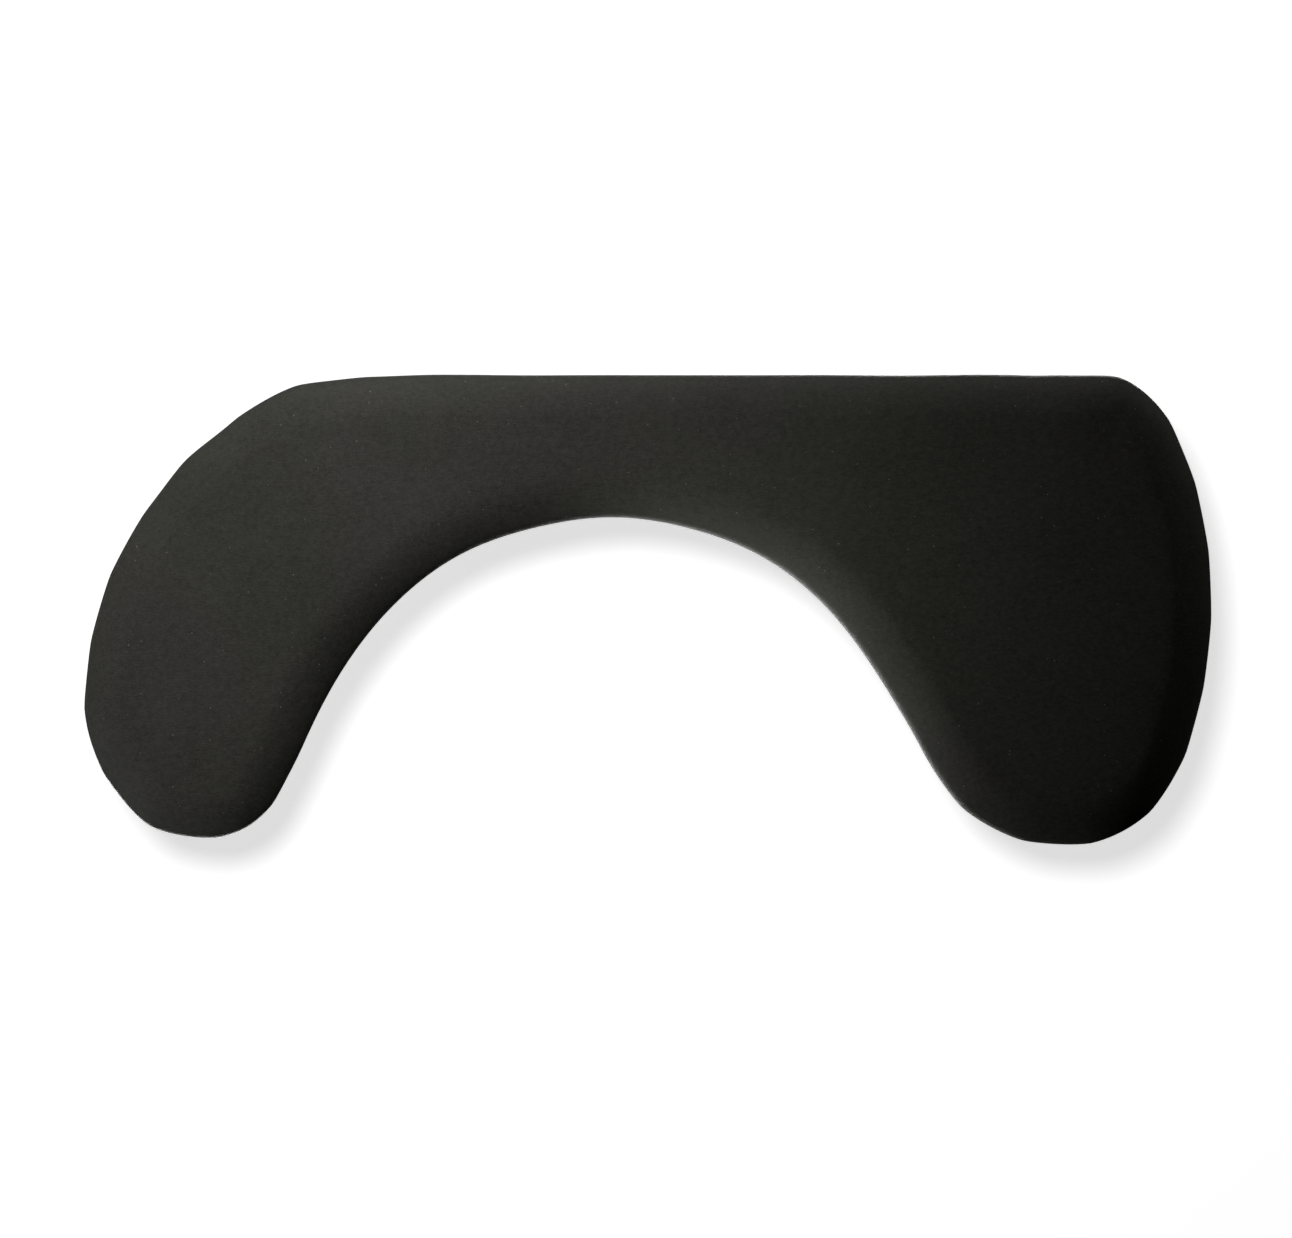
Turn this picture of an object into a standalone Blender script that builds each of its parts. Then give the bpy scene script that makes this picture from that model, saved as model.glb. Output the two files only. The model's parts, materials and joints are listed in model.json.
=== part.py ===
"""Desk-edge forearm support: an upholstered board with a torso cut-out, held by two screw clamps.

Metres, +Z up. +Y points to the desk and -Y to the person sitting at it; +X is their right hand.
The origin is the centre of the middle grip strip's underside, so z = 0 is the plane of the
desk top. The board overhangs the desk top, whose front edge meets the clamp brackets.

From the top down: stretch cover, foam, core board with tee nuts, dust liner, grip strips. Below
them hang two Z-shaped brackets, each with a bush, a spindle that turns a knob into travel, and a
pressure foot that swivels on the spindle's ball. The staples of the cover and of the liner are
left out.
"""

import math

import bmesh
import bpy
import numpy as np
from mathutils import Matrix, Vector

MM = 0.001
GAP = 0.3 * MM  # between pieces that touch
CUT_PAST = 1 * MM  # how far a cutter passes the faces it opens
TINY = 1e-6

# ---------------------------------------------------------------- the board's outline
STRAIGHT_EDGE_Y = 34 * MM  # the edge that lies on the desk
SECTION_POINTS = 72  # points round the outline
# Millimetres from the middle of the straight edge's line, clockwise seen from above, from the
# straight edge's right end round both forearm lobes to its left end.
OUTLINE_MM = [
    (277, 0), (302, -9), (322, -34.5), (335.5, -70), (344.5, -144), (341.5, -181), (333, -218),
    (317, -255), (291, -279.5), (252, -287.5), (214, -279.5), (182.5, -254), (167.5, -229.5),
    (138.5, -181), (110.5, -144), (72, -113), (28, -94.5), (-22, -87.5), (-70, -93.5),
    (-115, -110), (-153, -138), (-183, -174), (-207, -217), (-227, -257), (-246, -277.5),
    (-274, -283.5), (-303, -276.5), (-328, -252), (-343.5, -218), (-344.5, -190), (-322, -107),
    (-299, -71.5), (-281, -50), (-261, -33.5), (-224, -10), (-190, -2.5), (-110, 0),
]  # fmt: skip

# ---------------------------------------------------------------- layers, from the desk upwards
GRIP_THICK = 1.8 * MM
LINER_THICK = 0.7 * MM
FABRIC_THICK = 0.9 * MM
BOARD_THICK = 10 * MM
FOAM_THICK = 12.5 * MM

LINER_Z = GRIP_THICK + GAP
WRAP_Z = LINER_Z + LINER_THICK + GAP
BOARD_Z = WRAP_Z + FABRIC_THICK + GAP
FOAM_Z = BOARD_Z + BOARD_THICK + GAP
COVER_TOP_Z = FOAM_Z + FOAM_THICK + GAP + FABRIC_THICK

# ---------------------------------------------------------------- the board's edge, in section
WIDEST_Z = 11.5 * MM  # height at which the pad reaches its full outline
EDGE_ROLL = 6 * MM  # inset of the lower roll, where the cover turns under the board
SHOULDER = 22 * MM  # inset at which the upper roll reaches the flat top
LOWER_ROLL_STEPS = 3
UPPER_ROLL_STEPS = 5
WRAP_INSET = 21 * MM  # how far in the cover's stapled margin reaches
BOARD_INSET = 8.5 * MM
BOARD_CHAMFER = 0.8 * MM
LINER_INSET = 12 * MM

# ---------------------------------------------------------------- grip strips
GRIP_DEPTH = 28 * MM
MIDDLE_GRIP_LENGTH = 200 * MM
CLAMP_GRIP_LENGTH = 48 * MM
GRIP_CORNER = 4 * MM
GRIP_CORNER_STEPS = 4

# ---------------------------------------------------------------- clamp brackets
CLAMP_X = 190 * MM  # each clamp's distance from the middle
STEEL = 5 * MM
BRACKET_WIDTH = 40 * MM
DESK_STOP_Y = -28 * MM  # the web's front face, against the desk's edge
FLANGE_END_Y = -88 * MM
ARM_END_Y = 18 * MM
ARM_TOP_Z = -44 * MM
INNER_BEND = 3 * MM
BEND_STEPS = 5
FLANGE_CORNER = 8 * MM
ARM_CORNER = 13 * MM
FLANGE_TOP_Z = LINER_Z - GAP
BRACKET_SCREW_X = 13 * MM
BRACKET_SCREW_Y = (-48 * MM, -76 * MM)

# ---------------------------------------------------------------- screws and tee nuts, M6
SCREW_R = 3 * MM
SCREW_HOLE_R = 3.4 * MM
SCREW_HEAD_R = 5.3 * MM
SCREW_HEAD_HEIGHT = 3.3 * MM
SCREW_TOP_Z = 12.5 * MM
HEX_KEY_R = 2.3 * MM
HEX_KEY_DEPTH = 1.8 * MM
TEE_NUT_BORE_R = 3.35 * MM
TEE_NUT_BARREL_R = 4.1 * MM
TEE_NUT_BARREL = 8 * MM
TEE_NUT_FLANGE_R = 9 * MM
TEE_NUT_FLANGE = 1.2 * MM

# ---------------------------------------------------------------- spindle, ball, foot and bush
GRIP_MIN = 14 * MM  # thinnest desk top, gripped with the spindle fully up, as modelled
FOOT_PAD_R = 12.5 * MM
FOOT_PAD_THICK = 2.5 * MM
FOOT_PAD_CHAMFER = 0.6 * MM
FOOT_CUP_R = 13 * MM
FOOT_CUP_HEIGHT = 6.7 * MM
FOOT_PAD_TOP_Z = -GRIP_MIN
FOOT_CUP_TOP_Z = FOOT_PAD_TOP_Z - FOOT_PAD_THICK - GAP
FOOT_CUP_BOTTOM_Z = FOOT_CUP_TOP_Z - FOOT_CUP_HEIGHT
BALL_R = 3.5 * MM
SOCKET_R = BALL_R + GAP
BALL_STEPS = 5
BALL_TOP_ANGLE = 80  # degrees up from the ball's equator to its flat top
BALL_Z = FOOT_CUP_BOTTOM_Z + 2.2 * MM
BALL_FLAT_Z = BALL_Z - 2.7 * MM
PIN_R = 1.2 * MM
PIN_TOP_Z = BALL_Z + 0.5 * MM
NECK_R = 2 * MM
NECK = 1.4 * MM
NECK_TOP_Z = BALL_FLAT_Z - GAP
SPINDLE_R = 5 * MM
SPINDLE_CHAMFER = 0.8 * MM
SPINDLE_TOP_Z = NECK_TOP_Z - NECK
BUSH_BORE_R = SPINDLE_R + GAP
BUSH_SPIGOT_R = 6 * MM
BUSH_COLLAR_R = 9 * MM
BUSH_COLLAR = 2.5 * MM
BUSH_CHAMFER = 0.6 * MM
BUSH_PROUD = 0.6 * MM  # how far the bush stands out under the arm
ARM_BOTTOM_Z = ARM_TOP_Z - STEEL
BUSH_BOTTOM_Z = ARM_BOTTOM_Z - BUSH_PROUD

# ---------------------------------------------------------------- knob
KNOB_R = 19 * MM
KNOB_LOBES = 6
KNOB_LOBE_DEPTH = 1.5 * MM
KNOB_POINTS = 30
KNOB_EDGE = 2.2 * MM  # height of the rounding at the lobes' upper and lower edge
KNOB_TOP_Z = BUSH_BOTTOM_Z - 0.9 * MM
KNOB_HUB_R = 9 * MM
KNOB_HUB_TAPER = 1 * MM
KNOB_HUB = 2.6 * MM
KNOB_STEP = 0.4 * MM
KNOB_HEIGHT = 13 * MM
KNOB_BOTTOM_Z = KNOB_TOP_Z - KNOB_HEIGHT
KNOB_BORE_END_Z = KNOB_BOTTOM_Z + 3 * MM
CAP_R = 8.2 * MM
CAP_THICK = 1.2 * MM
CAP_EDGE = 0.8 * MM
CAP_EDGE_HEIGHT = 0.5 * MM
CAP_RECESS_Z = KNOB_BOTTOM_Z + 1.8 * MM

ROUND_STEPS = 20
FASTENER_STEPS = 12


# ================================================================ Blender helpers
def clear_scene():
    for obj in list(bpy.data.objects):
        bpy.data.objects.remove(obj)


def material(name, colour, roughness, metallic=0.0):
    made = bpy.data.materials.new(name)
    made.use_nodes = True
    shader = made.node_tree.nodes["Principled BSDF"]
    shader.inputs["Base Color"].default_value = (*colour, 1.0)
    shader.inputs["Roughness"].default_value = roughness
    shader.inputs["Metallic"].default_value = metallic
    return made


def mesh_from(bm, name, finish, smooth_angle=35):
    """The bmesh as a mesh with outward faces, shaded smooth up to that angle."""
    bmesh.ops.recalc_face_normals(bm, faces=bm.faces)
    mesh = bpy.data.meshes.new(name)
    bm.to_mesh(mesh)
    bm.free()
    mesh.materials.append(finish)
    mesh.shade_smooth()
    mesh.set_sharp_from_angle(angle=math.radians(smooth_angle))
    return mesh


def place(name, mesh, parent=None, location=(0, 0, 0)):
    obj = bpy.data.objects.new(name, mesh)
    obj.location = location
    obj.parent = parent
    bpy.context.scene.collection.objects.link(obj)
    return obj


def cut(obj, cutter_mesh, name):
    """Cuts a hidden copy of a mesh out of an object."""
    cutter = place(name, cutter_mesh, obj.parent, obj.location)
    cutter.hide_render = True
    cutter.display_type = "WIRE"
    boolean = obj.modifiers.new(name, "BOOLEAN")
    boolean.operation = "DIFFERENCE"
    boolean.object = cutter


# ================================================================ shape helpers
def loft(bm, rings, joined=False):
    """Skins rings that hold equally many points. The ends are capped, or joined to each other."""
    loops = [[bm.verts.new(point) for point in ring] for ring in rings]
    pairs = list(zip(loops, loops[1:]))
    if joined:
        pairs.append((loops[-1], loops[0]))
    for low, high in pairs:
        for i in range(len(low)):
            j = (i + 1) % len(low)
            bm.faces.new((low[i], low[j], high[j], high[i]))
    if not joined:
        bm.faces.new(loops[0])
        bm.faces.new(loops[-1])


def circle(radius, z, steps=ROUND_STEPS, centre=(0, 0)):
    return [
        (
            centre[0] + radius * math.cos(2 * math.pi * i / steps),
            centre[1] + radius * math.sin(2 * math.pi * i / steps),
            z,
        )
        for i in range(steps)
    ]


def turned(bm, profile, joined=False, steps=ROUND_STEPS, centre=(0, 0)):
    """A round piece about a vertical axis, from (radius, z) pairs."""
    loft(bm, [circle(r, z, steps, centre) for r, z in profile], joined)


def slab(bm, size_x, size_y, low_z, high_z, corner, centre=(0, 0)):
    """A flat block with rounded upright corners."""
    made = bmesh.ops.create_cube(bm, size=1.0)["verts"]
    bmesh.ops.scale(bm, vec=(size_x, size_y, high_z - low_z), verts=made)
    bmesh.ops.translate(bm, vec=(*centre, (low_z + high_z) / 2), verts=made)
    edges = {edge for vert in made for edge in vert.link_edges}
    upright = [e for e in edges if abs(e.verts[0].co.z - e.verts[1].co.z) > TINY]
    steps = GRIP_CORNER_STEPS
    bmesh.ops.bevel(bm, geom=upright, offset=corner, segments=steps, affect="EDGES", profile=0.5)


# ================================================================ the outline
def clamped_spline(knots, start, end, step):
    """A smooth curve through the knots that leaves along start and arrives along end."""
    count = len(knots)
    spans = np.linalg.norm(np.diff(knots, axis=0), axis=1)
    matrix = np.zeros((count, count))
    right = np.zeros((count, 2))
    matrix[0, 0] = 1
    matrix[-1, -1] = 1
    right[0] = start
    right[-1] = end
    for i in range(1, count - 1):
        before, after = spans[i - 1], spans[i]
        matrix[i, i - 1 : i + 2] = after, 2 * (before + after), before
        slope_in = (knots[i] - knots[i - 1]) / before
        slope_out = (knots[i + 1] - knots[i]) / after
        right[i] = 3 * (after * slope_in + before * slope_out)
    slopes = np.linalg.solve(matrix, right)
    points = []
    for i, span in enumerate(spans):
        t = np.linspace(0, 1, max(2, round(span / step)), endpoint=False)[:, None]
        points.append(
            (2 * t**3 - 3 * t**2 + 1) * knots[i]
            + (t**3 - 2 * t**2 + t) * span * slopes[i]
            + (3 * t**2 - 2 * t**3) * knots[i + 1]
            + (t**3 - t**2) * span * slopes[i + 1]
        )
    return np.vstack(points + [knots[-1:]])


def outline_curve():
    """The outline as dense points, clockwise seen from above, with the inward normal of each."""
    knots = np.array(OUTLINE_MM) * MM + (0, STRAIGHT_EDGE_Y)
    step = 1 * MM
    curve = clamped_spline(knots, (1, 0), (1, 0), step)
    straight_steps = round((knots[0][0] - knots[-1][0]) / step)
    straight_x = np.linspace(knots[-1][0], knots[0][0], straight_steps)[1:-1]
    straight = np.column_stack([straight_x, np.full(len(straight_x), STRAIGHT_EDGE_Y)])
    points = np.vstack([curve, straight])
    along = np.roll(points, -1, axis=0) - np.roll(points, 1, axis=0)
    along /= np.linalg.norm(along, axis=1)[:, None]
    inward = np.column_stack([along[:, 1], -along[:, 0]])
    return points, inward


def spread(points, inward, count, turn_weight):
    """Picks count stations along the outline, closer together where it turns. A turn of one
    radian counts as turn_weight metres of length."""
    step = np.linalg.norm(np.roll(points, -1, axis=0) - points, axis=1)
    turn = np.linalg.norm(np.roll(inward, -1, axis=0) - inward, axis=1)
    cost = np.concatenate([[0], np.cumsum(step + turn_weight * turn)])
    wanted = np.linspace(0, cost[-1], count, endpoint=False)
    return np.searchsorted(cost, wanted)


POINTS, INWARD = outline_curve()
STATIONS = spread(POINTS, INWARD, SECTION_POINTS, turn_weight=0.12)


def inset_ring(inset, z):
    """The outline moved inwards, at one height."""
    return [(*(POINTS[i] + INWARD[i] * inset), z) for i in STATIONS]


def edge_section(depth):
    """(inset, z) pairs of the board's rounded edge, at a depth under the cover's outside, from
    the underside's lower roll to the flat top."""
    section = []
    for i in range(LOWER_ROLL_STEPS + 1):
        angle = math.pi / 2 * i / LOWER_ROLL_STEPS
        inset = EDGE_ROLL - (EDGE_ROLL - depth) * math.sin(angle)
        z = WIDEST_Z - (WIDEST_Z - WRAP_Z - depth) * math.cos(angle)
        section.append((inset, z))
    for i in range(1, UPPER_ROLL_STEPS + 1):
        angle = math.pi / 2 * i / UPPER_ROLL_STEPS
        inset = SHOULDER - (SHOULDER - depth) * math.cos(angle)
        z = WIDEST_Z + (COVER_TOP_Z - WIDEST_Z - depth) * math.sin(angle)
        section.append((inset, z))
    return section


# ================================================================ the upholstered board
def make_cover(finish):
    """Stretch fabric over the top and edge, turned under the board."""
    outside = [(WRAP_INSET, WRAP_Z)] + edge_section(0)
    inside = [(WRAP_INSET, WRAP_Z + FABRIC_THICK)] + edge_section(FABRIC_THICK)
    bm = bmesh.new()
    loft(bm, [inset_ring(*pair) for pair in inside[::-1] + outside])
    place("cover", mesh_from(bm, "cover", finish))


def make_foam(finish):
    """Foam slab with a skirt that rounds off the core board's edge."""
    skirt_inset = BOARD_INSET - GAP
    underside = [(skirt_inset, FOAM_Z), (skirt_inset, BOARD_Z)]
    outside = edge_section(FABRIC_THICK + GAP)
    bm = bmesh.new()
    loft(bm, [inset_ring(*pair) for pair in underside + outside])
    place("foam_pad", mesh_from(bm, "foam_pad", finish))


def bracket_screw_places():
    """(x, y) of the bracket screws on both sides of a clamp's own centre line."""
    return [(side * BRACKET_SCREW_X, y) for side in (-1, 1) for y in BRACKET_SCREW_Y]


def all_screw_places():
    return [
        (clamp * CLAMP_X + x, y) for clamp in (-1, 1) for x, y in bracket_screw_places()
    ]


def make_board(finish):
    """Core board with a stepped hole for each tee nut."""
    top_z = BOARD_Z + BOARD_THICK
    bm = bmesh.new()
    loft(
        bm,
        [
            inset_ring(BOARD_INSET + BOARD_CHAMFER, BOARD_Z),
            inset_ring(BOARD_INSET, BOARD_Z + BOARD_CHAMFER),
            inset_ring(BOARD_INSET, top_z - BOARD_CHAMFER),
            inset_ring(BOARD_INSET + BOARD_CHAMFER, top_z),
        ],
    )
    board = place("core_board", mesh_from(bm, "core_board", finish))
    barrel_r = TEE_NUT_BARREL_R + GAP
    seat_z = top_z - TEE_NUT_FLANGE - GAP
    seat_r = TEE_NUT_FLANGE_R + GAP
    cutter = bmesh.new()
    for centre in all_screw_places():
        turned(
            cutter,
            [
                (barrel_r, BOARD_Z - CUT_PAST),
                (barrel_r, seat_z),
                (seat_r, seat_z),
                (seat_r, top_z + CUT_PAST),
            ],
            steps=FASTENER_STEPS,
            centre=centre,
        )
    cut(board, mesh_from(cutter, "tee_nut_seats", finish), "tee_nut_seats")


def make_liner(finish):
    """Non-woven dust liner under the board, over the cover's stapled margin."""
    bm = bmesh.new()
    top_z = LINER_Z + LINER_THICK
    loft(bm, [inset_ring(LINER_INSET, LINER_Z), inset_ring(LINER_INSET, top_z)])
    liner = place("dust_liner", mesh_from(bm, "dust_liner", finish))
    cutter = bmesh.new()
    for centre in all_screw_places():
        turned(
            cutter,
            [(SCREW_HOLE_R, LINER_Z - CUT_PAST), (SCREW_HOLE_R, top_z + CUT_PAST)],
            steps=FASTENER_STEPS,
            centre=centre,
        )
    cut(liner, mesh_from(cutter, "liner_holes", finish), "liner_holes")


def make_grip(name, x, length, finish):
    """Rubber strip on the liner, which rests on the desk top."""
    bm = bmesh.new()
    slab(bm, length, GRIP_DEPTH, 0, GRIP_THICK, GRIP_CORNER)
    place(name, mesh_from(bm, name, finish), location=(x, 0, 0))


# ================================================================ clamps
def bracket_section():
    """The bent strip's outline in the YZ plane: flange, web and arm, with two round bends."""
    middle = INNER_BEND + STEEL / 2
    flange_z = FLANGE_TOP_Z - STEEL / 2
    web_y = DESK_STOP_Y - STEEL / 2
    arm_z = ARM_TOP_Z - STEEL / 2
    top_centre = Vector((web_y - middle, flange_z - middle))
    low_centre = Vector((web_y + middle, arm_z + middle))
    path = [(Vector((FLANGE_END_Y, flange_z)), Vector((0, 1)))]
    for i in range(BEND_STEPS + 1):
        angle = math.pi / 2 * (1 - i / BEND_STEPS)
        out = Vector((math.cos(angle), math.sin(angle)))
        path.append((top_centre + out * middle, out))
    for i in range(BEND_STEPS + 1):
        angle = math.pi + math.pi / 2 * i / BEND_STEPS
        out = Vector((math.cos(angle), math.sin(angle)))
        path.append((low_centre + out * middle, -out))
    path.append((Vector((ARM_END_Y, arm_z)), Vector((0, 1))))
    half = STEEL / 2
    front = [point + side * half for point, side in path]
    back = [point - side * half for point, side in path]
    return front + back[::-1]


def round_end(bm, y, corner):
    """Rounds the two upright corners of a strip's end."""
    corners = [
        edge
        for edge in bm.edges
        if all(abs(vert.co.y - y) < TINY for vert in edge.verts)
        and abs(edge.verts[0].co.z - edge.verts[1].co.z) > STEEL / 2
    ]
    bmesh.ops.bevel(
        bm, geom=corners, offset=corner, segments=BEND_STEPS, affect="EDGES", profile=0.5
    )


def make_bracket(side, hub, finish):
    """Z-shaped steel bracket: its flange is screwed up into the board, its arm goes under the desk."""
    half = BRACKET_WIDTH / 2
    bm = bmesh.new()
    face = bm.faces.new([bm.verts.new((-half, y, z)) for y, z in bracket_section()])
    grown = bmesh.ops.extrude_face_region(bm, geom=[face])["geom"]
    moved = [item for item in grown if isinstance(item, bmesh.types.BMVert)]
    bmesh.ops.translate(bm, vec=(BRACKET_WIDTH, 0, 0), verts=moved)
    round_end(bm, FLANGE_END_Y, FLANGE_CORNER)
    round_end(bm, ARM_END_Y, ARM_CORNER)
    name = f"clamp_bracket_{side}"
    bracket = place(name, mesh_from(bm, name, finish), hub)
    cutter = bmesh.new()
    for centre in bracket_screw_places():
        low_z = FLANGE_TOP_Z - STEEL - CUT_PAST
        profile = [(SCREW_HOLE_R, low_z), (SCREW_HOLE_R, FLANGE_TOP_Z + CUT_PAST)]
        turned(cutter, profile, steps=FASTENER_STEPS, centre=centre)
    hole_r = BUSH_SPIGOT_R + GAP
    turned(cutter, [(hole_r, ARM_BOTTOM_Z - CUT_PAST), (hole_r, ARM_TOP_Z + CUT_PAST)])
    holes = f"bracket_holes_{side}"
    cut(bracket, mesh_from(cutter, holes, finish), holes)


def hexagon(corner_radius, z, steps):
    """A hexagon drawn with as many points as a circle of those steps, which is a multiple of 6."""
    per_side = steps // 6
    ring = []
    for side in range(6):
        start = Vector(circle(corner_radius, z, 6)[side])
        end = Vector(circle(corner_radius, z, 6)[(side + 1) % 6])
        ring += [start.lerp(end, k / per_side) for k in range(per_side)]
    return ring


def screw_mesh(finish):
    """Button-head screw with a hex socket, from its head up to the end of its shank."""
    head_top = FLANGE_TOP_Z - STEEL - GAP
    head_low = head_top - SCREW_HEAD_HEIGHT
    bm = bmesh.new()
    loft(
        bm,
        [
            hexagon(HEX_KEY_R, head_low + HEX_KEY_DEPTH, FASTENER_STEPS),
            hexagon(HEX_KEY_R, head_low, FASTENER_STEPS),
            circle(SCREW_HEAD_R * 0.65, head_low, FASTENER_STEPS),
            circle(SCREW_HEAD_R * 0.92, head_low + SCREW_HEAD_HEIGHT * 0.42, FASTENER_STEPS),
            circle(SCREW_HEAD_R, head_top, FASTENER_STEPS),
            circle(SCREW_R, head_top, FASTENER_STEPS),
            circle(SCREW_R, SCREW_TOP_Z, FASTENER_STEPS),
        ],
    )
    return mesh_from(bm, "bracket_screw", finish)


def tee_nut_mesh(finish):
    """Flanged tee nut, let into the core board from above."""
    top_z = BOARD_Z + BOARD_THICK
    seat_z = top_z - TEE_NUT_FLANGE
    barrel_z = seat_z - TEE_NUT_BARREL
    bm = bmesh.new()
    turned(
        bm,
        [
            (TEE_NUT_BORE_R, barrel_z),
            (TEE_NUT_BARREL_R, barrel_z),
            (TEE_NUT_BARREL_R, seat_z),
            (TEE_NUT_FLANGE_R, seat_z),
            (TEE_NUT_FLANGE_R, top_z),
            (TEE_NUT_BORE_R, top_z),
        ],
        joined=True,
        steps=FASTENER_STEPS,
    )
    return mesh_from(bm, "tee_nut", finish)


def bush_mesh(finish):
    """Threaded bush in the arm, with a collar on top that takes the clamping force."""
    seat_z = ARM_TOP_Z + GAP
    collar_z = seat_z + BUSH_COLLAR
    bm = bmesh.new()
    turned(
        bm,
        [
            (BUSH_BORE_R, BUSH_BOTTOM_Z),
            (BUSH_SPIGOT_R - BUSH_CHAMFER, BUSH_BOTTOM_Z),
            (BUSH_SPIGOT_R, BUSH_BOTTOM_Z + BUSH_CHAMFER),
            (BUSH_SPIGOT_R, seat_z),
            (BUSH_COLLAR_R, seat_z),
            (BUSH_COLLAR_R, collar_z - BUSH_CHAMFER),
            (BUSH_COLLAR_R - BUSH_CHAMFER, collar_z),
            (BUSH_BORE_R, collar_z),
        ],
        joined=True,
    )
    return mesh_from(bm, "threaded_bush", finish)


def spindle_mesh(finish):
    """Spindle, with a neck and a pin on which its ball tip sits."""
    low_z = KNOB_BORE_END_Z + GAP
    bm = bmesh.new()
    turned(
        bm,
        [
            (SPINDLE_R - SPINDLE_CHAMFER, low_z),
            (SPINDLE_R, low_z + SPINDLE_CHAMFER),
            (SPINDLE_R, SPINDLE_TOP_Z - SPINDLE_CHAMFER),
            (SPINDLE_R - SPINDLE_CHAMFER, SPINDLE_TOP_Z),
            (NECK_R, SPINDLE_TOP_Z),
            (NECK_R, NECK_TOP_Z),
            (PIN_R, NECK_TOP_Z),
            (PIN_R, PIN_TOP_Z),
        ],
    )
    return mesh_from(bm, "spindle", finish)


def knob_ring(scale, z):
    """One ring of the lobed knob."""
    ring = []
    for i in range(KNOB_POINTS):
        angle = 2 * math.pi * i / KNOB_POINTS
        lobe = KNOB_LOBE_DEPTH * (1 + math.cos(KNOB_LOBES * angle)) / 2
        radius = (KNOB_R - KNOB_LOBE_DEPTH + lobe) * scale
        ring.append((radius * math.cos(angle), radius * math.sin(angle), z))
    return ring


def knob_mesh(finish):
    """Lobed hand knob with a hub, a blind bore for the spindle and a recess for its cap."""
    flank_z = KNOB_TOP_Z - KNOB_HUB
    recess_r = CAP_R + GAP
    bore_r = SPINDLE_R + GAP
    bm = bmesh.new()
    loft(
        bm,
        [
            circle(bore_r, KNOB_BORE_END_Z, KNOB_POINTS),
            circle(bore_r, KNOB_TOP_Z, KNOB_POINTS),
            circle(KNOB_HUB_R, KNOB_TOP_Z, KNOB_POINTS),
            circle(KNOB_HUB_R + KNOB_HUB_TAPER, flank_z, KNOB_POINTS),
            knob_ring(0.92, flank_z - KNOB_STEP),
            knob_ring(1.0, flank_z - KNOB_EDGE),
            knob_ring(1.0, KNOB_BOTTOM_Z + KNOB_EDGE),
            knob_ring(0.9, KNOB_BOTTOM_Z),
            circle(recess_r, KNOB_BOTTOM_Z, KNOB_POINTS),
            circle(recess_r, CAP_RECESS_Z, KNOB_POINTS),
        ],
    )
    return mesh_from(bm, "knob", finish)


def cap_mesh(finish):
    """Snap-in cap that closes the knob from below."""
    top_z = CAP_RECESS_Z - GAP
    bm = bmesh.new()
    turned(
        bm,
        [
            (CAP_R - CAP_EDGE, top_z - CAP_THICK),
            (CAP_R, top_z - CAP_THICK + CAP_EDGE_HEIGHT),
            (CAP_R, top_z),
        ],
    )
    return mesh_from(bm, "knob_cap", finish)


def sphere_profile(radius, start_z):
    """(radius, z) pairs up a sphere about z = 0, from one height to its small flat top."""
    first = math.asin(start_z / radius)
    last = math.radians(BALL_TOP_ANGLE)
    angles = [first + (last - first) * i / BALL_STEPS for i in range(BALL_STEPS + 1)]
    return [(radius * math.cos(a), radius * math.sin(a)) for a in angles]


def ball_mesh(finish):
    """Ball tip, bored for the spindle's pin. It is drawn about its own centre."""
    bore_r = PIN_R + GAP
    flat_z = BALL_FLAT_Z - BALL_Z
    bore_top = PIN_TOP_Z + GAP - BALL_Z
    bm = bmesh.new()
    profile = [(bore_r, bore_top), (bore_r, flat_z)] + sphere_profile(BALL_R, flat_z)
    turned(bm, profile)
    return mesh_from(bm, "ball_tip", finish)


def foot_cup_mesh(finish):
    """Pressure foot's cup, crimped round the ball. It is drawn about the ball's centre."""
    low_z = FOOT_CUP_BOTTOM_Z - BALL_Z
    top_z = FOOT_CUP_TOP_Z - BALL_Z
    socket = sphere_profile(SOCKET_R, low_z)
    bm = bmesh.new()
    outside = [
        (FOOT_CUP_R * 0.55, low_z),
        (FOOT_CUP_R * 0.92, low_z + FOOT_CUP_HEIGHT * 0.45),
        (FOOT_CUP_R, low_z + FOOT_CUP_HEIGHT * 0.62),
        (FOOT_CUP_R, top_z),
    ]
    turned(bm, socket[::-1] + outside)
    return mesh_from(bm, "foot_cup", finish)


def foot_pad_mesh(finish):
    """Rubber disc that bears on the desk's underside. It is drawn about the ball's centre."""
    low_z = FOOT_CUP_TOP_Z + GAP - BALL_Z
    top_z = FOOT_PAD_TOP_Z - BALL_Z
    bm = bmesh.new()
    turned(
        bm,
        [
            (FOOT_PAD_R, low_z),
            (FOOT_PAD_R, top_z - FOOT_PAD_CHAMFER),
            (FOOT_PAD_R - FOOT_PAD_CHAMFER, top_z),
        ],
    )
    return mesh_from(bm, "foot_pad", finish)


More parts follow.
